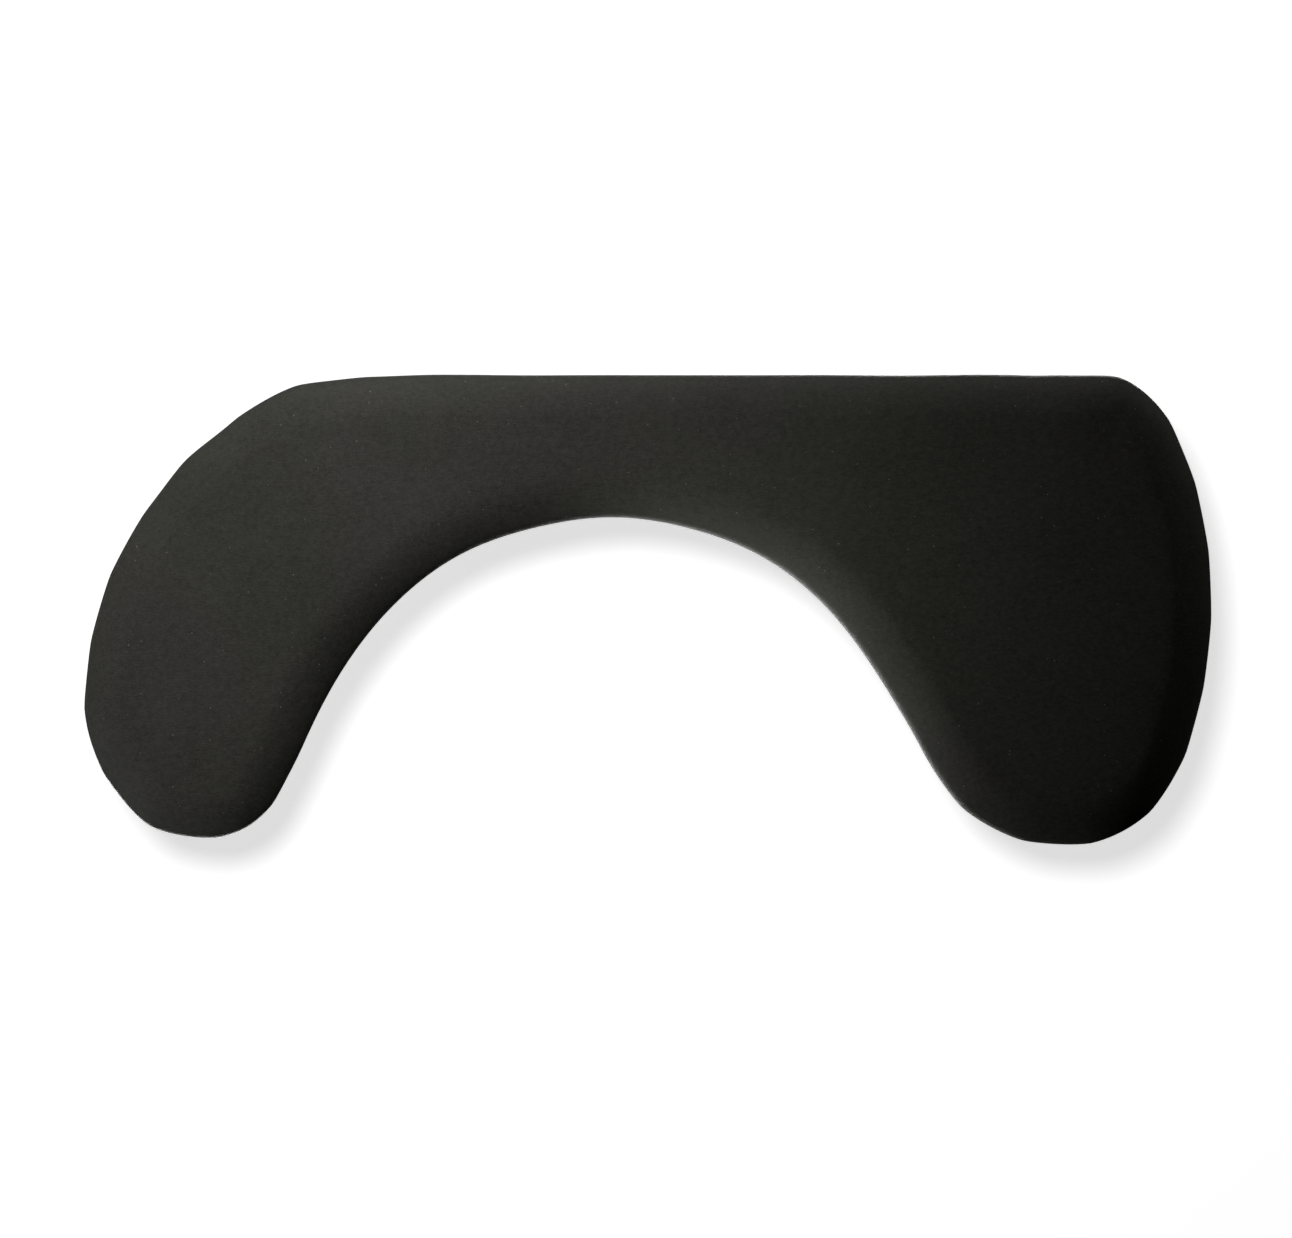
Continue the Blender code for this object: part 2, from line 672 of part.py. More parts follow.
def make_clamp(side, sign, screw, tee_nut, finishes):
    """One clamp. Its hub is an empty on the spindle's axis; the foot's is at the ball's centre."""
    hub = place(f"spindle_axis_{side}", None, location=(sign * CLAMP_X, 0, 0))
    pivot = place(f"foot_pivot_{side}", None, hub, (0, 0, BALL_Z))
    make_bracket(side, hub, finishes["powder_coat"])
    for number, (x, y) in enumerate(bracket_screw_places(), start=1):
        place(f"bracket_screw_{side}_{number}", screw, hub, (x, y, 0))
        place(f"tee_nut_{side}_{number}", tee_nut, hub, (x, y, 0))
    place(f"threaded_bush_{side}", bush_mesh(finishes["zinc"]), hub)
    place(f"spindle_{side}", spindle_mesh(finishes["steel"]), hub)
    place(f"knob_{side}", knob_mesh(finishes["plastic"]), hub)
    place(f"knob_cap_{side}", cap_mesh(finishes["plastic"]), hub)
    place(f"ball_tip_{side}", ball_mesh(finishes["steel"]), pivot)
    place(f"foot_cup_{side}", foot_cup_mesh(finishes["zinc"]), pivot)
    place(f"foot_pad_{side}", foot_pad_mesh(finishes["rubber"]), pivot)


def main():
    clear_scene()
    finishes = {
        "fabric": material("cover_fabric", (0.035, 0.034, 0.032), 0.85),
        "foam": material("foam", (0.32, 0.32, 0.33), 0.9),
        "wood": material("core_board", (0.42, 0.29, 0.17), 0.7),
        "liner": material("liner_fabric", (0.05, 0.05, 0.052), 0.95),
        "powder_coat": material("powder_coat", (0.025, 0.025, 0.026), 0.45),
        "zinc": material("zinc_plated", (0.62, 0.63, 0.64), 0.35, 1.0),
        "steel": material("bright_steel", (0.55, 0.56, 0.58), 0.28, 1.0),
        "rubber": material("rubber", (0.03, 0.03, 0.03), 0.8),
        "plastic": material("knob_plastic", (0.03, 0.03, 0.032), 0.4),
    }
    make_cover(finishes["fabric"])
    make_foam(finishes["foam"])
    make_board(finishes["wood"])
    make_liner(finishes["liner"])
    make_grip("grip_strip_middle", 0, MIDDLE_GRIP_LENGTH, finishes["rubber"])
    screw = screw_mesh(finishes["zinc"])
    tee_nut = tee_nut_mesh(finishes["zinc"])
    for side, sign in (("left", -1), ("right", 1)):
        make_grip(f"grip_strip_{side}", sign * CLAMP_X, CLAMP_GRIP_LENGTH, finishes["rubber"])
        make_clamp(side, sign, screw, tee_nut, finishes)


main()
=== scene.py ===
"""Looks of the desk-edge forearm support: fine meshes, materials, light and camera.

Metres, in the CAD's frame: +Z up off the desk top, +Y across the desk, +X to the user's right.
Each piece is built about its clamp's axis or the origin, at the size of the CAD node it stands for.
"""

import json
import math

import bmesh
import bpy
import numpy as np
from mathutils import Matrix, Vector, geometry


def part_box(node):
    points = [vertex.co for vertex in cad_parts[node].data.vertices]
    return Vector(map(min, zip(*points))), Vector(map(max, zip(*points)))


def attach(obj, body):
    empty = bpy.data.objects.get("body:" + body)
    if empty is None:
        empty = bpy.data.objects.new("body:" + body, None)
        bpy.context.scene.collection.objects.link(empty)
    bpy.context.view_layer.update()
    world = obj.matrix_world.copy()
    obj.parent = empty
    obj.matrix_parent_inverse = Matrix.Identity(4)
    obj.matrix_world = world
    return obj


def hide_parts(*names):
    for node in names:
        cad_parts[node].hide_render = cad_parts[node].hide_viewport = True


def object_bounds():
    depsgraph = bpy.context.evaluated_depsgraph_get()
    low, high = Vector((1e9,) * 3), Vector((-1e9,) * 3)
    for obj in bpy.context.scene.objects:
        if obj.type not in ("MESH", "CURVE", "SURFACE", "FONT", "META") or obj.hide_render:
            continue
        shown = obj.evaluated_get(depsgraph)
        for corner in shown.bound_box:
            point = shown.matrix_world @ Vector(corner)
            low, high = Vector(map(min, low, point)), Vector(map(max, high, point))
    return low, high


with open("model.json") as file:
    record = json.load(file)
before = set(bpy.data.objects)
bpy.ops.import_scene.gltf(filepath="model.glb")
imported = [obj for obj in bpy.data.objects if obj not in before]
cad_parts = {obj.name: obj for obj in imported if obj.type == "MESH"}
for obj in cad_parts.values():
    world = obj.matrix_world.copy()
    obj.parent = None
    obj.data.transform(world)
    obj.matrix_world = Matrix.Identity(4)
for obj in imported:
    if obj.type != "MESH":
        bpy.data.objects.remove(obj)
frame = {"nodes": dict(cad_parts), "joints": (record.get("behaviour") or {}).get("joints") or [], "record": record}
cad_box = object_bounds()

MM = 0.001
SIDES = ("left", "right")

# ---- upholstery
OUTLINE_POINTS = 480
LONGEST_SIDE = 30 * MM
SHOULDER = 27 * MM  # inset at which the rounded edge reaches the flat top
EDGE_ROLL = 6 * MM  # inset of the lower roll
WRAP_INSETS = (20 * MM, 16 * MM, 12 * MM, 9 * MM)  # rings of the margin under the board
LOWER_STEPS = 7
UPPER_STEPS = 14
SPLINE_STEPS = 40  # between two given points of the outline
BEND_REACH = 9  # points on each side over which the outline's curvature is averaged
TOP_SPACING = 7 * MM  # of the points in the flat top
FACET = 42 * MM  # distance between the pulls that flatten the wrapped outline
FACET_DEPTH = 0.8 * MM
FACET_LEVEL = 0.6  # share of the pull at which the outline keeps its place
WAVER = 110 * MM  # slow waves in the edge, which come and go over a longer stretch
WAVER_STRETCH = 400 * MM
WAVER_DEPTH = 0.15 * MM
PLEAT = 15 * MM
PLEAT_DEPTH = 0.5 * MM
PLEAT_DRIFT = 60 * MM  # over which the pleats' spacing changes
FULL_PLEAT_BEND = 15  # curvature, per metre, from which the pleats have their full depth
FABRIC_THICK = 0.8 * MM
FOAM_EDGE = 2.7 * MM  # inset of the foam's widest level
FOAM_SKIRT = 8.2 * MM  # inset of the inner side of the skirt round the core board
FOAM_WIDEST = 0.66  # height of the widest level, as a share of the skirt's
FOAM_LOWER_STEPS = 4
FOAM_UPPER_STEPS = 10
START_DROP = 1.2 * MM  # the cover starts this much lower, and swells
SWELL_CAP = 2.2 * MM
SWELL_EVENINGS = 40
SWELL_FRAMES = 20

# ---- liner and staples
LINER_THICK = 0.5 * MM
LINER_INSET = 12 * MM
LINER_SPACING = 9 * MM
LINER_FLAT_INSET = 19 * MM  # inset from which the liner lies flat
LINER_SCALLOP = 0.5 * MM  # half the depth of its edge's waves between the staples
LINER_CUT = 0.3 * MM  # unevenness of its edge
LINER_CUT_PERIOD = 50 * MM
PUCKER = 0.25 * MM
STAPLE_INSET = 16 * MM
STAPLE_COUNT = 60
STAPLE_CROWN = 10 * MM
STAPLE_BEND = 0.7 * MM
STAPLE_TILT = 0.12  # radians
STAPLE_WIRE_WIDTH = 1.2 * MM
STAPLE_WIRE_THICK = 0.5 * MM

# ---- hardware
ROUND = 64
HEX_ROUND = ROUND - ROUND % 6  # a multiple of six, for rings that meet a hexagon
TURNING_GAP = 0.2 * MM  # between pieces that turn or slide in each other
SEAT_GAP = 0.3 * MM  # between pieces that rest on each other
HOLE_GAP = 0.3 * MM
STEEL = 5 * MM
INNER_BEND = 3 * MM
BEND_STEPS = 14
FLANGE_CORNER = 8 * MM
ARM_CORNER = 13 * MM
EDGE_BEVEL = 0.45 * MM
SCREW_HOLE_R = 3.4 * MM
SCREW_SHANK_R = 3 * MM
SCREW_HEAD = 3.3 * MM
HEX_KEY_R = 2.3 * MM
HEX_KEY_DEPTH = 2 * MM
SCREW_TURN = 0.7  # radians from one screw's socket to the next one's
BUSH_SPIGOT_R = 6 * MM
BUSH_COLLAR = 2.5 * MM
THREAD_PITCH = 3 * MM
THREAD_MINOR_R = 3.4 * MM
THREAD_STEPS = 40  # per turn
NECK_R = 2 * MM
NECK = 1.4 * MM
PIN_R = 1.2 * MM
BALL_R = 3.5 * MM
BALL_TOP_ANGLE = 80  # degrees up to the flat that tops the ball in the CAD
SOCKET_R = BALL_R + 0.25 * MM
KNOB_LOBES = 6
KNOB_LOBE_DEPTH = 1.5 * MM
KNOB_HUB_R = 9 * MM
KNOB_HUB = 2.6 * MM
KNOB_EDGE = 3 * MM
KNOB_STEPS = 96
PAD_RIM = 1.4 * MM
PAD_GROOVES = 4
PAD_GROOVE_PITCH = 2.6 * MM
GRIP_RIBS = 9
RIB_DEPTH = 0.5 * MM
GRIP_CORNER = 4 * MM
GRIP_STATIONS = (0, 0.2, 0.6, 1.2, 2.2, 3.2, 4)  # mm from the end: rings that round the corners

# ---- studio
CAMERA_LENS = 85
CAMERA_AIM = (-0.0015, -0.1154)  # straight below the camera
VIEW_WIDTH = 0.791  # what the picture's width takes in, at VIEW_Z
VIEW_Z = 12 * MM
FLOOR_HALF = 15
FLOOR_GAP = 0.2 * MM
# Lamps: name, place, what it points at, width of the disk, power, and spread in degrees. The key is
# for all but the cover, and lights the floor. The cover has lamps of its own, brightest on its left.
KEY = ("key", (-0.27, 0.28, 1.94), (0, -0.1, 0), 0.45, 19, 180)
COVER_LAMPS = [
    ("over_left", (-0.4, -0.1, 0.6), (-0.25, -0.08, 0), 0.2, 0.51, 90),
    ("over_middle", (-0.1, 0.1, 0.4), (-0.12, 0, 0), 0.2, 0.36, 100),
    ("left", (-2.6, -1.35, 0.5), (0, -0.1, 0), 0.4, 61, 180),
    ("far_left", (-0.45, 0.87, 0.38), (-0.25, -0.05, 0), 0.3, 2, 70),
    ("far", (0.1, 1.2, 0.1), (0.1, 0, 0), 0.4, 7.15, 180),
    ("right", (2.2, 1.28, 0.08), (0, -0.1, 0), 0.4, 15, 180),
    ("cut_out", (-0.1, -0.2, 0.08), (0.1, -0.1, 0.02), 0.06, 0.19, 90),
    ("left_lobe", (-0.4, -0.6, 0.3), (-0.28, -0.2, 0), 0.15, 0.11, 70),
]
# Two lamps below the floor, which is clear from there, light the underside.
UNDER_LAMPS = [
    ("under_front", (-0.5, -0.6, -1.2), (0, -0.1, 0), 0.8, 40, 180),
    ("under_back", (0.4, 0.6, -1.2), (0, 0, -0.03), 0.6, 25, 180),
]
AMBIENT = (0.01, 0.01, 0.01, 1)
BACKDROP = (0.95, 0.95, 0.95, 1)


# ======== mesh helpers
def new_object(name, data, location=(0, 0, 0)):
    obj = bpy.data.objects.new(name, data)
    obj.location = location
    bpy.context.scene.collection.objects.link(obj)
    return obj


def finished(bm, name, finish, smooth_angle=40):
    """The bmesh as a mesh with outward faces and one material."""
    bmesh.ops.recalc_face_normals(bm, faces=bm.faces)
    mesh = bpy.data.meshes.new(name)
    bm.to_mesh(mesh)
    bm.free()
    mesh.materials.append(finish)
    mesh.shade_smooth()
    mesh.set_sharp_from_angle(angle=math.radians(smooth_angle))
    return mesh


def bake_modifiers(obj):
    graph = bpy.context.evaluated_depsgraph_get()
    mesh = bpy.data.meshes.new_from_object(obj.evaluated_get(graph))
    obj.modifiers.clear()
    obj.data = mesh


def levels_of(node):
    """Half the width along X of a CAD node's box, and its lowest and highest level."""
    low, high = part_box(node)
    return (high[0] - low[0]) / 2, low[2], high[2]


def centre_of(node):
    """X and Y of the middle of a CAD node's box."""
    low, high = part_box(node)
    return (low[0] + high[0]) / 2, (low[1] + high[1]) / 2


def settle(obj, body, slot, *nodes):
    """Rides the piece on its body, in place of the CAD nodes it stands for."""
    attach(obj, body)
    if nodes:
        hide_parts(*nodes)


def loft(bm, rings, closed=False, cap_start=True, cap_end=True):
    """Skins rings that hold equally many points."""
    loops = [[bm.verts.new(point) for point in ring] for ring in rings]
    pairs = list(zip(loops, loops[1:]))
    if closed:
        pairs.append((loops[-1], loops[0]))
    for low, high in pairs:
        for i in range(len(low)):
            j = (i + 1) % len(low)
            bm.faces.new((low[i], low[j], high[j], high[i]))
    if cap_start and not closed:
        bm.faces.new(loops[0])
    if cap_end and not closed:
        bm.faces.new(loops[-1])
    return loops


def quarter(steps, first=0):
    """Angles up to 90 degrees, in even steps."""
    return [math.pi / 2 * k / steps for k in range(first, steps + 1)]


def circle(radius, z, steps=ROUND):
    turn = 2 * math.pi / steps
    return [(radius * math.cos(i * turn), radius * math.sin(i * turn), z) for i in range(steps)]


def hexagon(corner_radius, z):
    """A hexagon drawn with as many points as the rings it meets."""
    corners = [Vector(point) for point in circle(corner_radius, z, 6)]
    per_side = HEX_ROUND // 6
    ring = []
    for side, start in enumerate(corners):
        end = corners[(side + 1) % 6]
        ring += [start.lerp(end, k / per_side) for k in range(per_side)]
    return ring


def filleted(profile, radius, steps=4):
    """Rounds the inner corners of a chain of (r, z) points, as far as its short sides allow."""
    points = [Vector(point) for point in profile]
    result = [points[0]]
    for before, corner, after in zip(points, points[1:], points[2:]):
        reach = min(radius, (before - corner).length * 0.45, (after - corner).length * 0.45)
        start = corner + (before - corner).normalized() * reach
        end = corner + (after - corner).normalized() * reach
        for k in range(steps + 1):
            t = k / steps
            result.append(start.lerp(corner, t).lerp(corner.lerp(end, t), t))
    result.append(points[-1])
    return [tuple(point) for point in result]


def near(r, z, *offsets):
    """(r, z) points at offsets in millimetres from one corner."""
    return [(r + dr * MM, z + dz * MM) for dr, dz in offsets]


def turned(bm, profile, closed=False):
    loft(bm, [circle(r, z) for r, z in profile], closed)


def arc(centre, radius, start, end, steps):
    """(r, z) points on an arc, angles in degrees."""
    angles = [math.radians(start + (end - start) * k / steps) for k in range(steps + 1)]
    return [(centre[0] + radius * math.cos(a), centre[1] + radius * math.sin(a)) for a in angles]


# ======== material helpers
class Finish:
    """A Principled material with object coordinates, and short ways to add texture nodes."""

    def __init__(self, name, colour, roughness, metallic=0.0, specular=0.5):
        self.material = bpy.data.materials.new(name)
        self.material.use_nodes = True
        self.tree = self.material.node_tree
        self.shader = self.tree.nodes["Principled BSDF"]
        self.set("Base Color", (*colour, 1.0))
        self.set("Roughness", roughness)
        self.set("Metallic", metallic)
        self.set("Specular IOR Level", specular)
        self.place = self.node("ShaderNodeTexCoord").outputs["Object"]

    def set(self, socket, value):
        self.shader.inputs[socket].default_value = value

    def link(self, source, target):
        self.tree.links.new(source, target)

    def node(self, kind, **settings):
        made = self.tree.nodes.new(kind)
        for key, value in settings.items():
            setattr(made, key, value)
        return made

    def math(self, operation, first, second=None):
        made = self.node("ShaderNodeMath", operation=operation)
        for socket, value in zip(made.inputs, (first, second)):
            if isinstance(value, (int, float)):
                socket.default_value = value
            elif value is not None:
                self.link(value, socket)
        return made.outputs[0]

    def stretched(self, scale, turn=(0, 0, 0)):
        """Object coordinates, turned and scaled."""
        made = self.node("ShaderNodeMapping")
        made.inputs["Rotation"].default_value = turn
        made.inputs["Scale"].default_value = scale
        self.link(self.place, made.inputs["Vector"])
        return made.outputs["Vector"]

    def noise(self, scale, detail=4.0, rough=0.55, place=None):
        made = self.node("ShaderNodeTexNoise")
        made.inputs["Scale"].default_value = scale
        made.inputs["Detail"].default_value = detail
        made.inputs["Roughness"].default_value = rough
        self.link(place or self.place, made.inputs["Vector"])
        return made.outputs["Fac"]

    def cells(self, scale):
        made = self.node("ShaderNodeTexVoronoi", feature="F1")
        made.inputs["Scale"].default_value = scale
        self.link(self.place, made.inputs["Vector"])
        return made.outputs

    def axes(self, place=None):
        """X, Y and Z of the coordinates."""
        made = self.node("ShaderNodeSeparateXYZ")
        self.link(place or self.place, made.inputs[0])
        return made.outputs

    def ripple(self, coordinate, period):
        """A wave between -1 and 1 along a coordinate."""
        return self.math("SINE", self.math("MULTIPLY", coordinate, 2 * math.pi / period))

    def remap(self, value, low, high, to_low=0.0, to_high=1.0):
        made = self.node("ShaderNodeMapRange")
        for socket, number in zip(list(made.inputs)[1:5], (low, high, to_low, to_high)):
            socket.default_value = number
        self.link(value, made.inputs["Value"])
        return made.outputs["Result"]

    def blend(self, amount, first, second):
        """Mixes two colours, each a tuple or a socket."""
        made = self.node("ShaderNodeMix", data_type="RGBA")
        self.link(amount, made.inputs["Factor"])
        colours = [s for s in made.inputs if s.type == "RGBA"]
        for socket, value in zip(colours, (first, second)):
            if isinstance(value, tuple):
                socket.default_value = (*value, 1.0)
            else:
                self.link(value, socket)
        return next(s for s in made.outputs if s.type == "RGBA")

    def colour(self, source):
        self.link(source, self.shader.inputs["Base Color"])

    def roughness(self, value, low, high, to_low, to_high):
        """Roughness that goes with a texture's value."""
        self.link(self.remap(value, low, high, to_low, to_high), self.shader.inputs["Roughness"])

    def bump(self, height, distance, strength=1.0):
        made = self.node("ShaderNodeBump")
        made.inputs["Strength"].default_value = strength
        made.inputs["Distance"].default_value = distance
        self.link(height, made.inputs["Height"])
        previous = self.shader.inputs["Normal"]
        if previous.is_linked:
            self.link(previous.links[0].from_socket, made.inputs["Normal"])
        self.link(made.outputs["Normal"], previous)


# ======== materials
def cover_fabric():
    """Matt black stretch fabric: fine plain weave, faint slubs along X, and specks of lint."""
    finish = Finish("cover_fabric", (0.013, 0.013, 0.01), 0.69, specular=0.11)
    finish.set("Sheen Weight", 0.02)
    finish.set("Sheen Roughness", 0.5)
    finish.set("Sheen Tint", (0.8, 0.8, 0.75, 1.0))
    x, y, z = finish.axes()
    across = finish.math("ADD", x, z)
    along = finish.math("ADD", y, z)
    pitch = 0.55 * MM
    weave = finish.math("MULTIPLY", finish.ripple(across, pitch), finish.ripple(along, pitch))
    slubs = finish.noise(1, 4, 0.6, finish.stretched((260, 1000, 1000)))
    grain = finish.noise(1100, 3, 0.7)
    cloudy = finish.noise(14, 4, 0.6)
    mottled = finish.noise(330, 3, 0.6)
    tone = finish.math("MULTIPLY", slubs, 0.28)
    for part, share in ((grain, 0.35), (mottled, 0.22), (cloudy, 0.15)):
        tone = finish.math("ADD", tone, finish.math("MULTIPLY", part, share))
    faded = finish.remap(finish.noise(9, 2), 0.4, 0.6)
    pale = finish.blend(faded, (0.0205, 0.0198, 0.0176), (0.0195, 0.0199, 0.0155))
    cloth = finish.blend(finish.remap(tone, 0.39, 0.61), (0.0062, 0.0062, 0.0047), pale)
    specks = finish.cells(260)
    spot = finish.remap(specks["Distance"], 0.03, 0.11, 1, 0)
    picked = finish.node("ShaderNodeSeparateColor")
    finish.link(specks["Color"], picked.inputs[0])
    chosen = finish.remap(picked.outputs[0], 0.7, 1.0)
    lint = finish.math("MULTIPLY", spot, chosen)
    finish.colour(finish.blend(lint, cloth, (0.14, 0.14, 0.12)))
    finish.roughness(slubs, 0.3, 0.7, 0.64, 0.74)
    finish.bump(weave, 0.05 * MM, 0.5)
    finish.bump(slubs, 0.15 * MM, 0.8)
    finish.bump(grain, 0.14 * MM, 0.8)
    return finish.material


def liner_fabric():
    """Black spun non-woven: matted fibres, pressed with a grid of small bond points."""
    finish = Finish("liner_fabric", (0.03, 0.03, 0.031), 0.9, specular=0.25)
    fibres = finish.noise(1, 5, 0.7, finish.stretched((260, 1500, 900), (0, 0, 0.6)))
    crossed = finish.noise(1, 5, 0.7, finish.stretched((1500, 260, 900), (0, 0, 0.35)))
    mat = finish.math("MAXIMUM", fibres, crossed)
    x, y, _ = finish.axes(finish.stretched((1, 1, 1), (0, 0, math.pi / 4)))
    pitch = 1.6 * MM
    grid = finish.math("MULTIPLY", finish.ripple(x, pitch), finish.ripple(y, pitch))
    points = finish.remap(grid, 0.55, 0.8)
    matted = finish.remap(mat, 0.4, 0.75)
    matted = finish.blend(matted, (0.020, 0.020, 0.021), (0.055, 0.055, 0.057))
    finish.colour(finish.blend(points, matted, (0.016, 0.016, 0.017)))
    finish.bump(mat, 0.15 * MM, 0.7)
    finish.bump(points, -0.12 * MM, 0.8)
    return finish.material


def foam():
    """Grey open-cell foam, with painted shade: its colour darkens where its bump sinks, in the pores."""
    finish = Finish("foam", (0.3, 0.3, 0.31), 0.95, specular=0.2)
    cells = finish.cells(700)["Distance"]
    # painted shade: darker from each cell's centre out to its sunken border
    pore_shade = finish.remap(cells, 0, 0.6)
    finish.colour(finish.blend(pore_shade, (0.36, 0.36, 0.37), (0.16, 0.16, 0.17)))
    finish.bump(cells, -0.4 * MM)
    return finish.material


def core_board():
    """Raw plywood: long grain on the faces, plies on the edge."""
    finish = Finish("core_board", (0.42, 0.29, 0.17), 0.7)
    grain = finish.noise(1, 6, 0.6, finish.stretched((6, 110, 900)))
    _, _, z = finish.axes()
    plies = finish.remap(finish.ripple(z, 2.6 * MM), -0.2, 0.2)
    wood = finish.blend(finish.remap(grain, 0.3, 0.7), (0.50, 0.35, 0.21), (0.36, 0.23, 0.12))
    finish.colour(finish.blend(finish.math("MULTIPLY", plies, 0.45), wood, (0.22, 0.13, 0.07)))
    finish.bump(grain, 0.2 * MM, 0.6)
    return finish.material


def powder_coat():
    """Satin black powder coat with orange peel and a few dull scuffs."""
    finish = Finish("powder_coat", (0.016, 0.016, 0.017), 0.38)
    peel = finish.noise(1100, 2)
    scuffs = finish.noise(1, 5, 0.65, finish.stretched((40, 40, 160)))
    worn = finish.remap(scuffs, 0.58, 0.72)
    finish.colour(finish.blend(worn, (0.015, 0.015, 0.016), (0.030, 0.030, 0.031)))
    finish.roughness(scuffs, 0.35, 0.7, 0.34, 0.56)
    finish.bump(peel, 0.12 * MM, 0.5)
    return finish.material


def zinc_plated():
    """Bright zinc plate: a faint blue and straw tint, fine drawn lines and dull patches."""
    finish = Finish("zinc_plated", (0.62, 0.64, 0.67), 0.3, metallic=1.0)
    tint = finish.noise(120, 3)
    lines = finish.noise(1, 4, 0.6, finish.stretched((300, 300, 3000)))
    finish.colour(finish.blend(finish.remap(tint, 0.35, 0.65), (0.58, 0.62, 0.68), (0.68, 0.66, 0.60)))
    patches = finish.math("MULTIPLY", finish.math("ADD", lines, tint), 0.5)
    finish.roughness(patches, 0.35, 0.65, 0.24, 0.46)
    finish.bump(lines, 0.03 * MM, 0.5)
    return finish.material


def bright_steel():
    """Turned steel with fine rings and a trace of oil."""
    finish = Finish("bright_steel", (0.56, 0.57, 0.59), 0.25, metallic=1.0)
    rings = finish.noise(1, 3, 0.6, finish.stretched((60, 60, 5000)))
    film = finish.noise(160, 3)
    finish.colour(finish.blend(finish.remap(film, 0.4, 0.7), (0.58, 0.59, 0.61), (0.44, 0.43, 0.41)))
    finish.roughness(film, 0.3, 0.7, 0.2, 0.4)
    finish.bump(rings, 0.03 * MM, 0.6)
    return finish.material


def rubber():
    """Matt black rubber with a fine skin and a little dust."""
    finish = Finish("rubber", (0.018, 0.018, 0.018), 0.8, specular=0.35)
    skin = finish.noise(1800, 3)
    dust = finish.noise(70, 6, 0.7)
    dusty = finish.remap(dust, 0.55, 0.8)
    finish.colour(finish.blend(dusty, (0.016, 0.016, 0.016), (0.05, 0.048, 0.045)))
    finish.roughness(dust, 0.3, 0.7, 0.7, 0.88)
    finish.bump(skin, 0.08 * MM, 0.5)
    return finish.material


def knob_plastic():
    """Black moulded plastic with a fine spark-eroded texture, polished a little by hands."""
    finish = Finish("knob_plastic", (0.02, 0.02, 0.021), 0.42)
    grain = finish.noise(2600, 2)
    rubbed = finish.noise(60, 3)
    wear = finish.remap(rubbed, 0.3, 0.7)
    finish.colour(finish.blend(wear, (0.017, 0.017, 0.018), (0.026, 0.026, 0.027)))
    finish.roughness(rubbed, 0.3, 0.7, 0.34, 0.52)
    finish.bump(grain, 0.08 * MM, 0.6)
    return finish.material


def floor_white():
    """White studio floor that glows, so that it stays white and its shadows pale. It is clear from
    below."""
    finish = Finish("floor_white", (0.9, 0.9, 0.9), 0.9, specular=0.1)
    finish.set("Emission Color", (1.0, 1.0, 1.0, 1.0))
    finish.set("Emission Strength", 0.69)
    mix = finish.node("ShaderNodeMixShader")
    finish.link(finish.node("ShaderNodeNewGeometry").outputs["Backfacing"], mix.inputs["Fac"])
    finish.link(finish.shader.outputs["BSDF"], mix.inputs[1])
    finish.link(finish.node("ShaderNodeBsdfTransparent").outputs["BSDF"], mix.inputs[2])
    finish.link(mix.outputs["Shader"], finish.tree.nodes["Material Output"].inputs["Surface"])
    return finish.material


# ======== the board's outline
def widest_level(node):
    """The points of a CAD node, and the level that reaches farthest along X."""
    points = np.array([vert.co for vert in frame["nodes"][node].data.vertices])
    return points, points[points[:, 0].argmax(), 2]


def widest_ring(node):
    """The points of a CAD node's widest level, in order round it, counter-clockwise."""
    points, height = widest_level(node)
    level = points[abs(points[:, 2] - height) < 0.01 * MM][:, :2]
    level = np.unique(level.round(6), axis=0)
    order = [0]
    waiting = set(range(1, len(level)))
    while waiting:
        here = level[order[-1]]
        order.append(min(waiting, key=lambda i: np.linalg.norm(level[i] - here)))
        waiting.remove(order[-1])
    ring = level[order]
    after = np.roll(ring, -1, axis=0)
    area = np.sum(ring[:, 0] * after[:, 1] - ring[:, 1] * after[:, 0])
    return split_long_sides(ring if area > 0 else ring[::-1])


def split_long_sides(ring):
    """Adds points on the straight edge, so that a smooth curve through the ring keeps it straight."""
    points = []
    for here, after in zip(ring, np.roll(ring, -1, axis=0)):
        parts = max(1, round(np.linalg.norm(after - here) / LONGEST_SIDE))
        points += [here + (after - here) * k / parts for k in range(parts)]
    return np.array(points)


def closed_curve(points, count):
    """Evenly spaced points on a smooth closed curve through the given ones."""
    size = len(points)
    after = np.roll(points, -1, axis=0)
    spans = np.linalg.norm(after - points, axis=1)
    slopes_in = (after - points) / spans[:, None]
    matrix = np.zeros((size, size))
    right = np.zeros((size, 2))
    for i in range(size):
        before = spans[i - 1]
        matrix[i, i - 1] = spans[i]
        matrix[i, i] = 2 * (before + spans[i])
        matrix[i, (i + 1) % size] = before
        right[i] = 3 * (spans[i] * slopes_in[i - 1] + before * slopes_in[i])
    slopes = np.linalg.solve(matrix, right)
    t = np.linspace(0, 1, SPLINE_STEPS, endpoint=False)[:, None]
    pieces = []
    for i in range(size):
        j = (i + 1) % size
        pieces.append(
            (2 * t**3 - 3 * t**2 + 1) * points[i]
            + (t**3 - 2 * t**2 + t) * spans[i] * slopes[i]
            + (3 * t**2 - 2 * t**3) * points[j]
            + (t**3 - t**2) * spans[i] * slopes[j]
        )
    dense = np.vstack(pieces + [points[:1]])
    walked = np.concatenate([[0], np.cumsum(np.linalg.norm(np.diff(dense, axis=0), axis=1))])
    stations = np.linspace(0, walked[-1], count, endpoint=False)
    return np.column_stack([np.interp(stations, walked, dense[:, k]) for k in range(2)])


